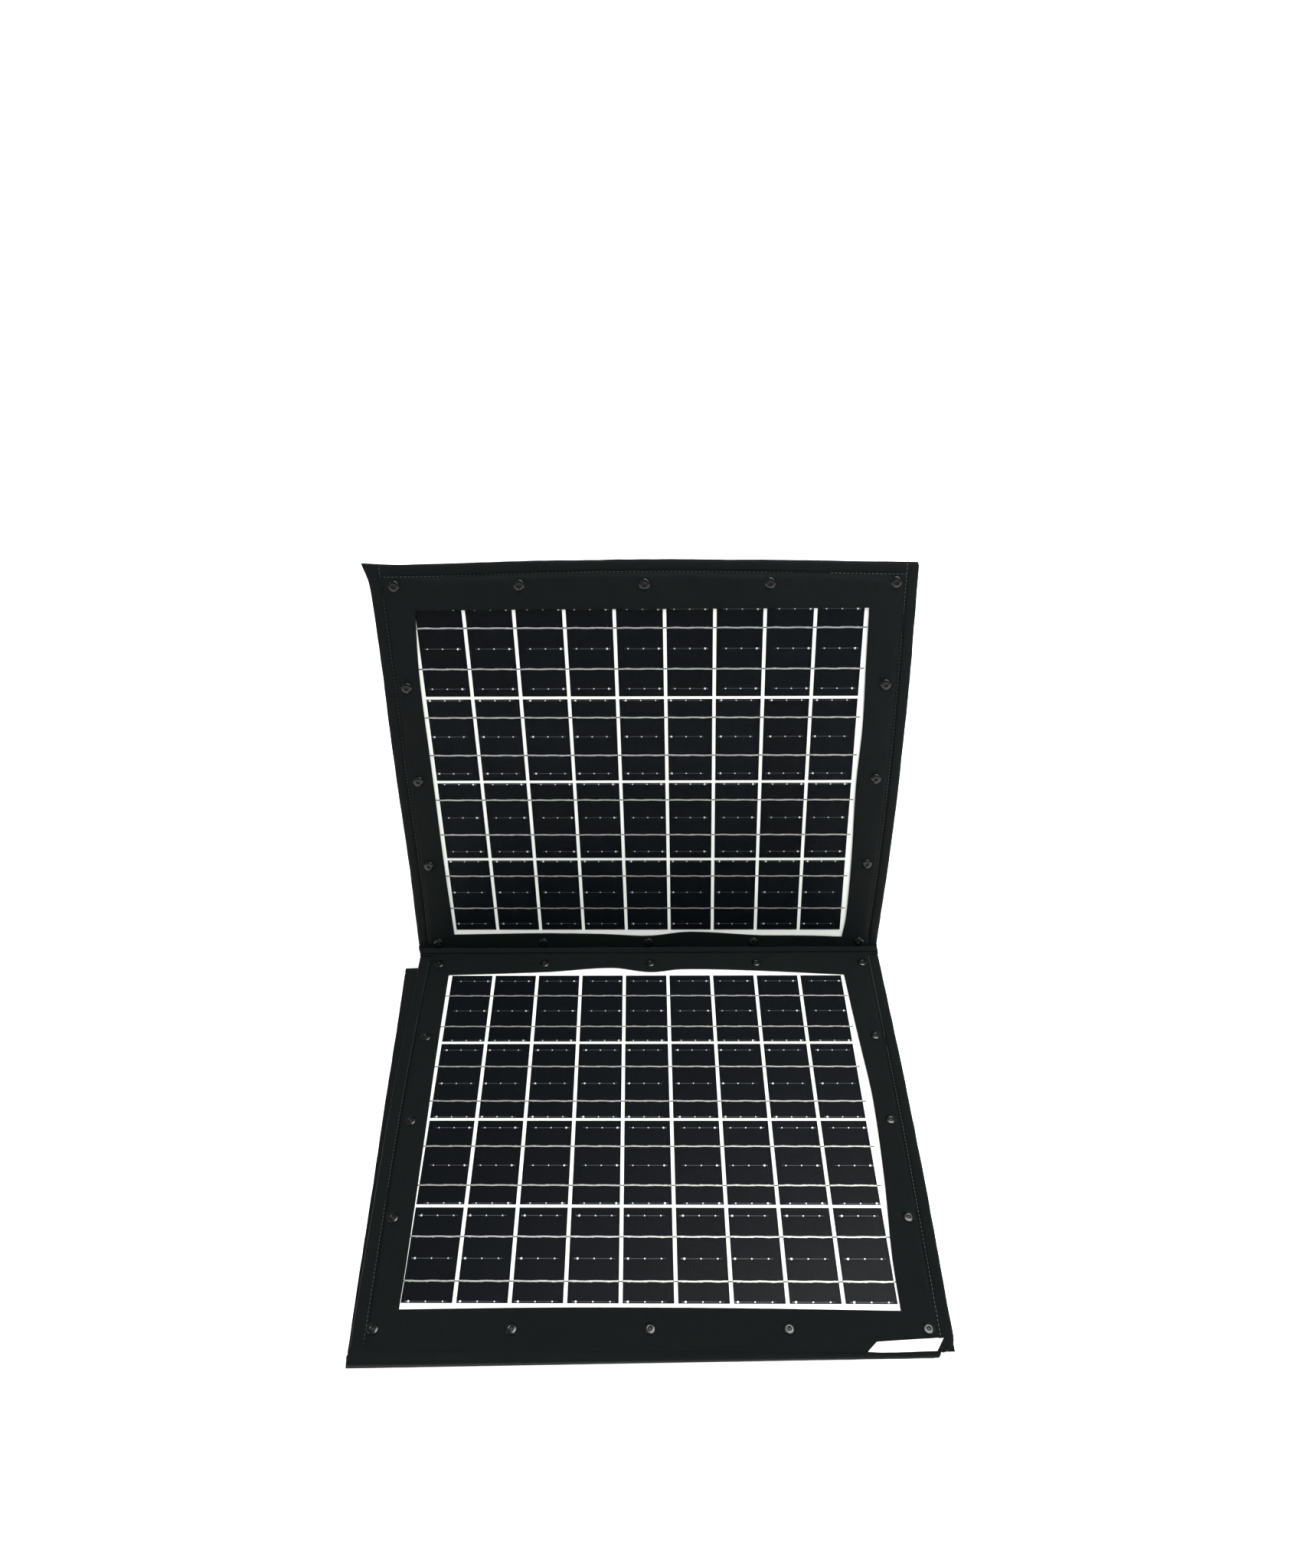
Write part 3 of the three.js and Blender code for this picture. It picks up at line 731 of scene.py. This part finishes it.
def faceHeight(name, leaf, x, y):
    edge = hemDistance(leaf, x, y)
    face = layerTop["face"] / mm
    hem = clothCut["hemHigh"] + 0.25 * math.sin(min(edge / clothCut["hem"], 1) * math.pi)
    hem += 0.25 * noise.noise(Vector((x / 21, y / 21, leaf["seed"])))
    rise = smoothStep(clothCut["hem"] + 0.4, clothCut["boardEdge"], edge)
    height = hem + (face - hem) * rise
    height -= 1.0 * bump(edge - clothCut["hem"], 0.9)
    flat = 1.0
    for spot in rivetSpots[name]:
        away = math.hypot(x - spot.x, y - spot.y)
        if away < 30:
            angle = math.atan2(y - spot.y, x - spot.x)
            height -= 0.35 * bump(away, 6.5)
            height += 0.22 * bump(away - 9, 5) * math.cos(3 * angle + spot.x)
            flat *= 1 - bump(away, 6)
    height += clothWaves(leaf, x, y) * rise * flat
    if abs(x) < leafCut["boardHalf"] + 1 and y < leafCut["boardEnd"] + 1:
        height = max(height, layerTop["board"] / mm + 0.3)
    return height


def windowPoint(leaf, side, t):
    points = leaf["window"][side]
    at = points[0][0] + (points[-1][0] - points[0][0]) * t
    across = throughPoints(points, at)
    return (at, across) if side in ("fold", "far") else (across, at)


def outerPoint(leaf, side, t):
    start, end = leafEdges(leaf)
    if side in ("fold", "far"):
        y = start if side == "fold" else leafSide(leaf, "far", -200 + 400 * t)
        left, right = leafSide(leaf, "left", y), leafSide(leaf, "right", y)
        x = left + (right - left) * t
        y = y if side == "fold" else leafSide(leaf, "far", x)
    else:
        corner = leafSide(leaf, "left" if side == "left" else "right", end)
        y = start + (leafSide(leaf, "far", corner) - start) * t
        x = leafSide(leaf, side, y)
    for (cornerX, cornerY), radius in zip(((-1, 0), (1, 0), (1, 1), (-1, 1)), leaf["corners"]):
        outX = leafSide(leaf, "left" if cornerX < 0 else "right", end if cornerY else start)
        outY = leafSide(leaf, "far", outX) if cornerY else start
        middle = Vector((outX - cornerX * radius, outY + radius * (1 - 2 * cornerY)))
        off = Vector((x, y)) - middle
        if radius and off.x * cornerX > 0 and (off.y > 0) == bool(cornerY):
            x, y = middle + off.normalized() * radius
    seed = leaf["seed"]
    if side in leaf["hemmed"]:
        fade = smoothStep(0, 30, min(y - start, end - y)) if side != "far" else 1
        slow, quick = [noise.noise(Vector((x / size, y / size, seed))) for size in (70, 16)]
        sway = fade * (0.5 * slow + 0.3 * quick)
        x += sway * (1 if side == "right" else -1 if side == "left" else 0)
        y += sway if side == "far" else 0
    pull = leaf.get("pull", 0) * bump(math.hypot(x - leaf["left"][-1][1], end - y), 13)
    return x - pull, y + 0.2 * pull


def ringStations(leaf):
    stations = []
    for side, forward in (("fold", True), ("right", True), ("far", False), ("left", False)):
        points = leaf["window"][side]
        count = max(int(abs(points[-1][0] - points[0][0]) / 2.6 * leaf["fine"]), 40)
        for k in range(count):
            t = k / count if forward else 1 - k / count
            stations.append((windowPoint(leaf, side, t), outerPoint(leaf, side, t)))
    return stations


def acrossRing(width):
    outer = [0, 0.35, 1.0, 2.2, 4, 6, 8, 9.2, 9.7, 10, 10.3, 10.8, 12, 13.3, 14.6]
    inner = [3.2, 2.2, 1.4, 0.8, 0.4, 0.15, 0]
    squeeze = min(1, (width - 4.5) / 15.5)
    outer = [d * squeeze for d in outer]
    middle = [outer[-1] + (width - inner[0] - outer[-1]) * k / 9 for k in range(1, 9)]
    return outer + middle + [width - d for d in inner]


def makeBezel(name, leaf):
    rings = []
    for (inX, inY), (outX, outY) in ringStations(leaf):
        width = math.hypot(inX - outX, inY - outY)
        top, under = [], []
        for distance in acrossRing(width):
            share = distance / width
            x, y = outX + (inX - outX) * share, outY + (inY - outY) * share
            toWindow = width - distance
            height = faceHeight(name, leaf, x, y)
            lip = 1 - smoothStep(0, clothCut["windowEdge"], toWindow)
            height -= 0.45 * lip ** 2
            brim = 1 - smoothStep(0, 1.6, distance)
            height -= (0.9 if hemDistance(leaf, x, y) < 3 else 0.3) * brim ** 2
            floorHeight = layerTop["film"] / mm + 0.08
            thick = clothCut["thick"] * (1 - 0.25 * lip)
            if toWindow < 12:
                height = max(height, floorHeight + thick)
            lowest = layerTop["cover"] / mm + 0.05
            bottom = max(height - thick, lowest)
            if hemDistance(leaf, x, y) < clothCut["hem"] + 1:
                bottom = lowest
            top.append(Vector((x, y, height)) * mm)
            under.append(Vector((x, y, bottom)) * mm)
        rings.append(top + under[::-1])
    count = len(rings[0])
    verts = [spot for ring in rings for spot in ring]
    faces = []
    for i in range(len(rings)):
        a, b = i * count, (i + 1) % len(rings) * count
        faces += [(a + k, a + (k + 1) % count, b + (k + 1) % count, b + k) for k in range(count)]
    piece = newObject(name + "_cloth_front", verts, faces, cloth)
    faceOutward(piece)
    flatMap(piece)
    shadeSmooth(piece, 60)
    placePiece(piece, leaf["place"], leaf["body"])
    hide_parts(name + "_bezel")
    start, end = leafEdges(leaf)
    width, length = 2 * leafCut["halfWidth"] * mm, (end - start) * mm
    return piece


# ---- the cloth back of a leaf: one sheet, almost flat

def makeBack(name, leaf):
    start, end = leafEdges(leaf)
    columns, rows = int(150 * leaf["fine"]) + 10, int(130 * leaf["fine"]) + 10
    top, under = [], []
    for j in range(rows + 1):
        for i in range(columns + 1):
            reach = leafSide(leaf, "far", -200 + 400 * i / columns) - 0.9 - start - 0.6
            y = start + 0.6 + reach * j / rows
            left, right = leafSide(leaf, "left", y) + 0.8, leafSide(leaf, "right", y) - 0.8
            x = left + (right - left) * i / columns
            rim = min(x - left, right - x, y - start, start + reach - y)
            puff = 0.16 * noise.noise(Vector((x / 30, y / 30, leaf["seed"] + 5.5)))
            puff *= smoothStep(0, 12, rim)
            groove = 0.22 * bump(hemDistance(leaf, x, y) - clothCut["hem"], 0.9)
            top.append(Vector((x, y, layerTop["cover"] / mm)) * mm)
            under.append(Vector((x, y, max(0.02, 0.1 + puff + groove))) * mm)
    piece = newObject(name + "_cloth_back", top + under, sheetFaces(columns, rows), cloth)
    flatMap(piece)
    shadeSmooth(piece, 50)
    placePiece(piece, leaf["place"], leaf["body"])
    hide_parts(name + "_back_cover")
    return piece


# ---- rivets, stitches and laminate

rivetShape = {"head": 4.8, "high": 1.1, "hole": 1.55}


def makeRivets(name, leaf):
    base = layerTop["face"] / mm + 0.05
    head, high, hole = rivetShape["head"], rivetShape["high"], rivetShape["hole"]
    profile = [(1.9, layerTop["board"] / mm - 1.0), (1.9, base), (head - 0.25, base), (head, base + 0.12)]
    for k in range(7):
        angle = k / 6 * math.pi / 2
        reach = hole + 0.25 + (head - hole - 0.25) * math.cos(angle)
        profile.append((reach, base + 0.15 + (high - 0.15) * math.sin(angle)))
    profile += [(hole, base + high - 0.12), (hole, base + 0.1)]
    part = turned("rivet_part", profile, 28)
    spots = [(s.x * mm, s.y * mm, 0) for s in rivetSpots[name]]
    rivets = copyOnPoints(name + "_rivets", part, spots, enamel, 3.0, leaf["seed"])
    # The mandrel in each rivet hole carries painted hole shade in its darkened steel.
    pinPart = turned("mandrel_part", [(0, base + 0.1), (hole - 0.08, base + 0.1), (hole - 0.08, base + 0.4),
                                      (hole * 0.5, base + 0.55), (0, base + 0.5)], 16)
    pins = copyOnPoints(name + "_rivet_mandrels", pinPart, spots, mandrel, 3.0, leaf["seed"])
    for piece in (rivets, pins):
        shadeSmooth(piece)
        placePiece(piece, leaf["place"], leaf["body"])
    if name in ("upper", "lower"):
        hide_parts(*[f"{name}_rivet_{number:02d}" for number in range(1, 17)])


def makeStitches(name, leaf):
    start, end = leafEdges(leaf)
    hem = clothCut["hem"]
    lines = []
    for side, inward in (("left", 1), ("right", -1)):
        ys = [start + 3 + (end - start - 6) * k / 90 for k in range(91)]
        lines.append([(leafSide(leaf, side, y) + inward * hem, y) for y in ys])
    if "far" in leaf["hemmed"]:
        left, right = leafSide(leaf, "left", end) + hem, leafSide(leaf, "right", end) - hem
        xs = [left + (right - left) * k / 100 for k in range(101)]
        lines.append([(x, leafSide(leaf, "far", x) - hem) for x in xs])
    raised = [[Vector((x, y, faceHeight(name, leaf, x, y) + 0.12)) * mm for x, y in line] for line in lines]
    piece = sewPath(name + "_hem_stitches", raised)
    placePiece(piece, leaf["place"], leaf["body"])


def makeSheets(name, leaf):
    if name in ("upper", "lower"):
        nodes[name + "_backsheet"].data.materials[0] = backsheet
        nodes[name + "_board"].data.materials[0] = board
        nodes[name + "_front_film"].data.materials[0] = film
        return
    half = leafCut["laminateHalf"]
    outline = rectangle(-half, half, leafCut["laminateFrom"], leafCut["laminateTo"])
    sheetTop = layerTop["cellFoot"] - 0.1 * mm
    sheet = plate(name + "_backsheet", outline, sheetTop - 0.4 * mm, sheetTop, 0.1)
    clear = plate(name + "_front_film", outline, layerTop["film"] - 0.3 * mm, layerTop["film"], 0.1)
    stiffHalf = leafCut["boardHalf"]
    stiffOutline = rectangle(-stiffHalf, stiffHalf, leafEdges(leaf)[0] + 1.6, leafCut["boardEnd"])
    stiff = plate(name + "_board", stiffOutline, layerTop["board"] - leafCut["firmThick"] * mm,
        layerTop["board"], 0.2)
    for piece, material, slotName in ((sheet, backsheet, "backsheet"), (clear, film, "front_film"),
                                      (stiff, board, "stiffener_board")):
        piece.data.materials.append(material)
        placePiece(piece, leaf["place"], leaf["body"])
    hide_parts(name + "_panel")


for name, leaf in leaves.items():
    cells = makeCells(name, leaf)
    if name in ("upper", "lower"):
        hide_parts(name + "_cell_strings")
    makeBezel(name, leaf)
    makeBack(name, leaf)
    makeRivets(name, leaf)
    makeStitches(name, leaf)
    makeSheets(name, leaf)
    print(name, "leaf made")

# ---- the cloth hinges: at each fold a skin over the fronts and one over the backs, bent round the fold line.
# through is the way, in degrees about the fold, that a skin bulges, and waist how far from the fold line
# it passes.

hingeCut = {"thick": 0.6, "tuck": 2.6, "steps": 16, "stations": 170, "pucker": 0.22}
frontLevel = layerTop["face"] / mm - 0.65
hingeSkins = {
    "upper_fold_front": {"through": 128, "waist": 0.7},
    "upper_fold_back": {"level": 0.4, "through": -52, "waist": 4.0},
    "back_fold_front": {"through": 180, "waist": 0.5, "span": 0.974},
    "back_fold_back": {"level": -0.12, "through": 180, "waist": 0.3, "thick": 0.18, "span": 0.974},
    "under_fold_front": {"through": 180, "waist": 0.7},
    "under_fold_back": {"level": 0.4, "through": 0, "waist": 2.8},
}
foldLeaves = {"upper_fold": ("lower", "upper"), "back_fold": ("lower", "third"),
    "under_fold": ("third", "fourth")}


def leafEdge(name, joint, level, tuck=0.0):
    leaf = leaves[name]
    start, end = leafEdges(leaf)
    ends = []
    for side in ("left", "right"):
        y = leafSide(leaf, "far", leaf[side][-1][1]) - tuck if joint == "back_fold" else start + tuck
        ends.append(leaf["place"] @ (Vector((leafSide(leaf, side, y), y, level)) * mm))
    return sorted(ends, key=lambda end: end.x)


def skinPath(skin, share, name):
    joint = joints[skin["joint"]]
    level, tuck = skin.get("level", frontLevel), hingeCut["tuck"]
    first, last = skin["leaves"]
    inA, a, b, inB = [low.lerp(high, share) for low, high in (
        leafEdge(first, skin["joint"], level, tuck), leafEdge(first, skin["joint"], level),
        leafEdge(last, skin["joint"], level), leafEdge(last, skin["joint"], level, tuck))]
    along = Vector(joint["axis"])
    middle = Vector(joint["pos_m"])
    middle = middle + along * ((a.x + b.x) / 2 - middle.x) / along.x
    angleA, angleB = [math.atan2(p.z - middle.z, p.y - middle.y) for p in (a, b)]
    reachA, reachB = [math.hypot(p.z - middle.z, p.y - middle.y) for p in (a, b)]
    through = math.radians(skin["through"])
    angleA = through + (angleA - through + math.pi) % (2 * math.pi) - math.pi
    angleB = through + (angleB - through + math.pi) % (2 * math.pi) - math.pi
    pucker = hingeCut["pucker"] * mm * noise.noise(Vector((share * 33, len(name), skin["through"])))
    spots = [inA]
    for k in range(hingeCut["steps"] + 1):
        u = k / hingeCut["steps"]
        pull = math.sin(math.pi * u) ** 0.8
        reach = (reachA + (reachB - reachA) * u) * (1 - pull) + (skin["waist"] * mm + pucker) * pull
        angle = angleA + (angleB - angleA) * u
        bend = Vector((0, math.cos(angle), math.sin(angle))) * reach
        spots.append(Vector((a.x + (b.x - a.x) * u, middle.y + bend.y, middle.z + bend.z)))
    return spots + [inB]


def makeHingeSkin(name, skin):
    half = skin.get("thick", hingeCut["thick"]) / 2 * mm
    rings = []
    for k in range(hingeCut["stations"] + 1):
        spots = skinPath(skin, k / hingeCut["stations"] * skin.get("span", 1), name)
        outer, inner = [], []
        for i, spot in enumerate(spots):
            run = spots[min(i + 1, len(spots) - 1)] - spots[max(i - 1, 0)]
            side = Vector((0, -run.z, run.y)).normalized() * half
            outer.append(spot + side)
            inner.append(spot - side)
        rings.append(outer + inner[::-1])
    count = len(rings[0])
    verts = [spot for ring in rings for spot in ring]
    faces = [(a + k, a + (k + 1) % count, a + count + (k + 1) % count, a + count + k)
             for a in range(0, len(verts) - count, count) for k in range(count)]
    rows = count // 2
    for first in (0, len(verts) - count):
        faces += [(first + k, first + k + 1, first + count - 2 - k, first + count - 1 - k)
            for k in range(rows - 1)]
    piece = newObject(name + "_cloth", verts, faces, cloth)
    faceOutward(piece)
    path = skinPath(skin, 0.5, name)
    travel = [0.0]
    for before, after in zip(path, path[1:]):
        travel.append(travel[-1] + (after - before).length)
    layer = piece.data.uv_layers.new(name="cut")
    for loop in piece.data.loops:
        k = loop.vertex_index % count
        layer.data[loop.index].uv = (piece.data.vertices[loop.vertex_index].co.x,
            travel[min(k, count - 1 - k)])
    shadeSmooth(piece, 60)
    first, last = [leaves[leafName]["body"] for leafName in skin["leaves"]]
    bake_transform(piece)
    return piece


for name, skin in hingeSkins.items():
    skin["joint"] = name.rsplit("_", 1)[0]
    skin["leaves"] = foldLeaves[skin["joint"]]
    piece = makeHingeSkin(name, skin)
    if name.endswith("_front"):
        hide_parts(name.replace("_front", "_roll"))
print("cloth hinges made")

# ---- the blank label, sewn over the near edge of the lower leaf

labelCut = {"farRight": (-168.8, 388.0), "farLeft": (-218.9, 384.6), "nearRight": (-160.2, 396.0),
    "nearLeft": (-212.5, 394.3), "edgeY": 394.5, "thick": 0.35}


def makeLabel():
    leaf = leaves["lower"]
    columns, rows = 60, 14
    top, under = [], []
    for j in range(rows + 1):
        right = Vector(labelCut["farRight"]).lerp(Vector(labelCut["nearRight"]), j / rows)
        left = Vector(labelCut["farLeft"]).lerp(Vector(labelCut["nearLeft"]), j / rows)
        for i in range(columns + 1):
            x, y = right.lerp(left, i / columns)
            past = max(y - labelCut["edgeY"] + 1.2, 0)
            z = faceHeight("lower", leaf, x, min(y, labelCut["edgeY"])) + 0.1
            z -= 0.26 * past ** 2 / (1 + 0.1 * past)
            z += 0.12 * noise.noise(Vector((x / 13, y / 6, 4.4)))
            top.append(Vector((x, y, z + labelCut["thick"])) * mm)
            under.append(Vector((x, y - 0.15, z)) * mm)
    piece = newObject("blank_label", top + under, sheetFaces(columns, rows), labelTape)
    faceOutward(piece)
    shadeSmooth(piece, 50)
    placePiece(piece, leaf["place"], leaf["body"])
    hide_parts("label")


makeLabel()

# ---- the stand: a bent tube whose turned-in ends sit in two saddles, with two rubber sleeves on its foot

standCut = {"tube": 4, "legHalf": 100, "stubEnd": 70, "stubBend": 8, "footBend": 14, "sides": 24,
    "sleeve": 5.5, "sleeveBore": 4.05, "sleeveLong": 30, "sleeveAt": 60}
footMiddle = (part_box("stand_foot_left")[0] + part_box("stand_foot_left")[1]) / 2
standDrop = Vector((0, footMiddle.y - standPivot.y, footMiddle.z - standPivot.z))
standLong = standDrop.length / mm
standPlace = Matrix.Translation(standPivot) @ rotated(math.atan2(-standDrop.z, -standDrop.y), "X")


def bentPath(corners, bends):
    spots = [Vector(corners[0])]
    for k in range(1, len(corners) - 1):
        at = Vector(corners[k])
        back = (Vector(corners[k - 1]) - at).normalized()
        onward = (Vector(corners[k + 1]) - at).normalized()
        centre = at + (back + onward) * bends[k - 1]
        for i in range(13):
            turn = i / 12 * math.pi / 2
            inward = onward * math.cos(turn) + back * math.sin(turn)
            spots.append(centre - inward * bends[k - 1])
    return spots + [Vector(corners[-1])]


def sweptTube(name, spots, radius, sides):
    verts, faces = [], []
    for i, spot in enumerate(spots):
        run = (spots[min(i + 1, len(spots) - 1)] - spots[max(i - 1, 0)]).normalized()
        side = run.cross(Vector((0, 0, 1))).normalized()
        for k in range(sides):
            angle = 2 * math.pi * k / sides
            rise = Vector((0, 0, radius * math.sin(angle)))
            verts.append((spot + side * radius * math.cos(angle) + rise) * mm)
    for i in range(len(spots) - 1):
        for k in range(sides):
            a, b = i * sides + k, i * sides + (k + 1) % sides
            faces.append((a, b, b + sides, a + sides))
    faces.append(tuple(range(sides))[::-1])
    faces.append(tuple(len(verts) - sides + k for k in range(sides)))
    piece = newObject(name, verts, faces)
    faceOutward(piece)
    shadeSmooth(piece)
    return piece


def makeStand():
    leg, stub = standCut["legHalf"], standCut["stubEnd"]
    corners = [(-stub, 0, 0), (-leg, 0, 0), (-leg, -standLong, 0), (leg, -standLong, 0), (leg, 0, 0),
        (stub, 0, 0)]
    bends = [standCut["stubBend"], standCut["footBend"], standCut["footBend"], standCut["stubBend"]]
    frameTube = sweptTube("stand_tube", bentPath(corners, bends), standCut["tube"], standCut["sides"])
    frameTube.data.materials.append(tube)
    placePiece(frameTube, standPlace, "stand")
    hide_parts("stand_frame")
    half, bore, outer = standCut["sleeveLong"] / 2, standCut["sleeveBore"], standCut["sleeve"]
    profile = [(bore, -half), (outer - 0.6, -half), (outer - 0.1, -half + 0.5)]
    for k in range(-4, 5):
        at = k * 2.8
        profile += [(outer, at - 0.9), (outer, at + 0.9), (outer - 0.35, at + 1.15),
            (outer - 0.35, at + 1.65)]
    profile = profile[:-2] + [(outer - 0.1, half - 0.5), (outer - 0.6, half), (bore, half), (bore, -half)]
    for side, word in ((-1, "left"), (1, "right")):
        sleeve = turned(f"rubber_foot_{word}", profile, 32)
        sleeve.data.materials.append(rubber)
        lay = Matrix.Translation((side * standCut["sleeveAt"] * mm, -standLong * mm, 0))
        lay = lay @ rotated(math.pi / 2, "Y")
        placePiece(sleeve, standPlace @ lay, "stand")
        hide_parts(f"stand_foot_{word}")


saddleCut = {"radius": 7, "bore": 4.5, "half": 11.2, "wide": 18, "lift": 5.7, "bevel": 0.7}


def moulded(name, tidy):
    bmesh.ops.recalc_face_normals(tidy, faces=tidy.faces)
    piece = newObject(name, [], [], plastic)
    tidy.to_mesh(piece.data)
    tidy.free()
    shadeSmooth(piece, 35)
    return piece


def makeSaddle(word):
    low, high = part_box(f"stand_bracket_{word}")
    radius, half, lift = saddleCut["radius"], saddleCut["half"], saddleCut["lift"]
    outline = [(half, lift), (half * 0.5, lift), (0, lift), (-half * 0.5, lift), (-half, lift),
        (-half, lift - 2)]
    angles = [math.pi + k * math.pi / 24 for k in range(25)]
    outline += [(radius * math.cos(a), radius * math.sin(a)) for a in angles]
    outline.append((half, lift - 2))
    bore = [Vector(p).normalized() * saddleCut["bore"] for p in outline]
    tidy = bmesh.new()
    rows = []
    for x in (-saddleCut["wide"] / 2, saddleCut["wide"] / 2):
        rows.append([tidy.verts.new((x * mm, p[0] * mm, p[1] * mm)) for p in outline])
        rows.append([tidy.verts.new((x * mm, p[0] * mm, p[1] * mm)) for p in bore])
    count = len(outline)
    outerEdges = []
    for k in range(count):
        j = (k + 1) % count
        for a, b in ((rows[0], rows[1]), (rows[2], rows[3]), (rows[0], rows[2]), (rows[1], rows[3])):
            tidy.faces.new((a[k], a[j], b[j], b[k]))
        outerEdges += [tidy.edges.get((rows[0][k], rows[0][j])), tidy.edges.get((rows[2][k], rows[2][j]))]
    bmesh.ops.bevel(tidy, geom=outerEdges, offset=saddleCut["bevel"] * mm, segments=3, profile=0.5,
        affect="EDGES")
    piece = moulded(f"saddle_{word}", tidy)
    place = Matrix.Translation(((low.x + high.x) / 2, standPivot.y, standPivot.z))
    placePiece(piece, place @ rotated(openAngle, "X"), "upper_leaf")
    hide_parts(f"stand_bracket_{word}")


makeStand()
for word in ("left", "right"):
    makeSaddle(word)
print("stand made")

# ---- the junction box on the upper leaf's back: a tray, a lid held by four screws, and a cable gland

boxCut = {"wide": 112, "high": 64, "deep": 17, "corner": 6, "foldTo": 316, "tray": 12.2, "groove": 0.5,
    "bevel": 1.4, "screwX": 48, "screwY": 24, "gland": 7, "bore": 3.5, "glandLong": 16}


def roundedOutline(wide, high, corner):
    spots = []
    for k, (sx, sy) in enumerate(((1, 1), (-1, 1), (-1, -1), (1, -1))):
        for i in range(9):
            angle = (k + i / 8) * math.pi / 2
            spots.append((sx * (wide / 2 - corner) + corner * math.cos(angle),
                sy * (high / 2 - corner) + corner * math.sin(angle)))
    return spots


def boxPart(name, wide, high, corner, low, top, bevel):
    tidy = bmesh.new()
    outline = roundedOutline(wide, high, corner)
    face = tidy.faces.new([tidy.verts.new((x * mm, y * mm, -low * mm)) for x, y in outline])
    lifted = bmesh.ops.extrude_face_region(tidy, geom=[face])
    raised = [v for v in lifted["geom"] if isinstance(v, bmesh.types.BMVert)]
    bmesh.ops.translate(tidy, verts=raised, vec=(0, 0, (low - top) * mm))
    rim = [e for e in tidy.edges if all(v in raised for v in e.verts)]
    if bevel:
        bmesh.ops.bevel(tidy, geom=rim, offset=bevel * mm, segments=4, profile=0.5, affect="EDGES")
    return moulded(name, tidy)


def makeJunctionBox():
    out = (leaves["upper"]["foldAt"] + boxCut["foldTo"]) * mm
    place = leaves["upper"]["place"] @ Matrix.Translation((0, out, 0))
    wide, high, corner = boxCut["wide"], boxCut["high"], boxCut["corner"]
    tray = boxPart("junction_box_tray", wide, high, corner, 0.3, boxCut["tray"], 0.4)
    core = boxPart("junction_box_seal", wide - 2, high - 2, corner - 1, boxCut["tray"] - 0.5,
        boxCut["tray"] + 0.8, 0)
    core.data.materials[0] = rubber
    lid = boxPart("junction_box_lid", wide, high, corner, boxCut["tray"] + boxCut["groove"], boxCut["deep"],
        boxCut["bevel"])
    panel = boxPart("junction_box_lid_step", wide - 22, high - 18, corner, boxCut["deep"] - 0.5,
        boxCut["deep"] + 0.6, 0.5)
    screwTop = boxCut["deep"] + 0.9
    profile = [(0, -boxCut["deep"] + 1), (3.1, -boxCut["deep"] + 1), (3.1, -screwTop + 0.5),
        (2.7, -screwTop), (1.5, -screwTop), (1.3, -screwTop + 0.7), (0, -screwTop + 0.9)]
    screw = turned("screw_part", profile, 24)
    spots = [(sx * boxCut["screwX"] * mm, sy * boxCut["screwY"] * mm, 0)
        for sx in (-1, 1) for sy in (-1, 1)]
    screws = copyOnPoints("junction_box_screws", screw, spots, mandrel, 3.0, 5)
    shadeSmooth(screws)
    radius, bore, long = boxCut["gland"], boxCut["bore"], boxCut["glandLong"]
    glandProfile = [(bore, -3), (radius + 0.6, -3), (radius + 0.6, 3.6), (radius - 0.4, 4.2),
        (radius - 0.4, 5.0)]
    glandProfile += [(radius, 5.4), (radius, 11.5), (radius - 0.6, 13.4), (radius - 1.8, 15.2),
        (bore + 0.7, long), (bore, long), (bore, -3)]
    gland = turned("cable_gland", glandProfile, 36)
    for vertex in gland.data.vertices:
        reach = math.hypot(vertex.co.x, vertex.co.y)
        along = vertex.co.z / mm
        if reach > (bore + 2) * mm and 5.2 < along < 12:
            rib = 1 - 0.06 * (round(math.atan2(vertex.co.y, vertex.co.x) / (2 * math.pi / 36)) % 3 == 0)
            vertex.co.x *= rib
            vertex.co.y *= rib
    shadeSmooth(gland, 25)
    gland.data.materials.append(plastic)
    side = Matrix.Translation((wide / 2 * mm, 0, -boxCut["deep"] / 2 * mm))
    gland.data.transform(side @ rotated(math.pi / 2, "Y"))
    for piece in (tray, core, lid, panel, screws, gland):
        placePiece(piece, place, "upper_leaf")
    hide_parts("junction_box")


makeJunctionBox()
print("junction box made")
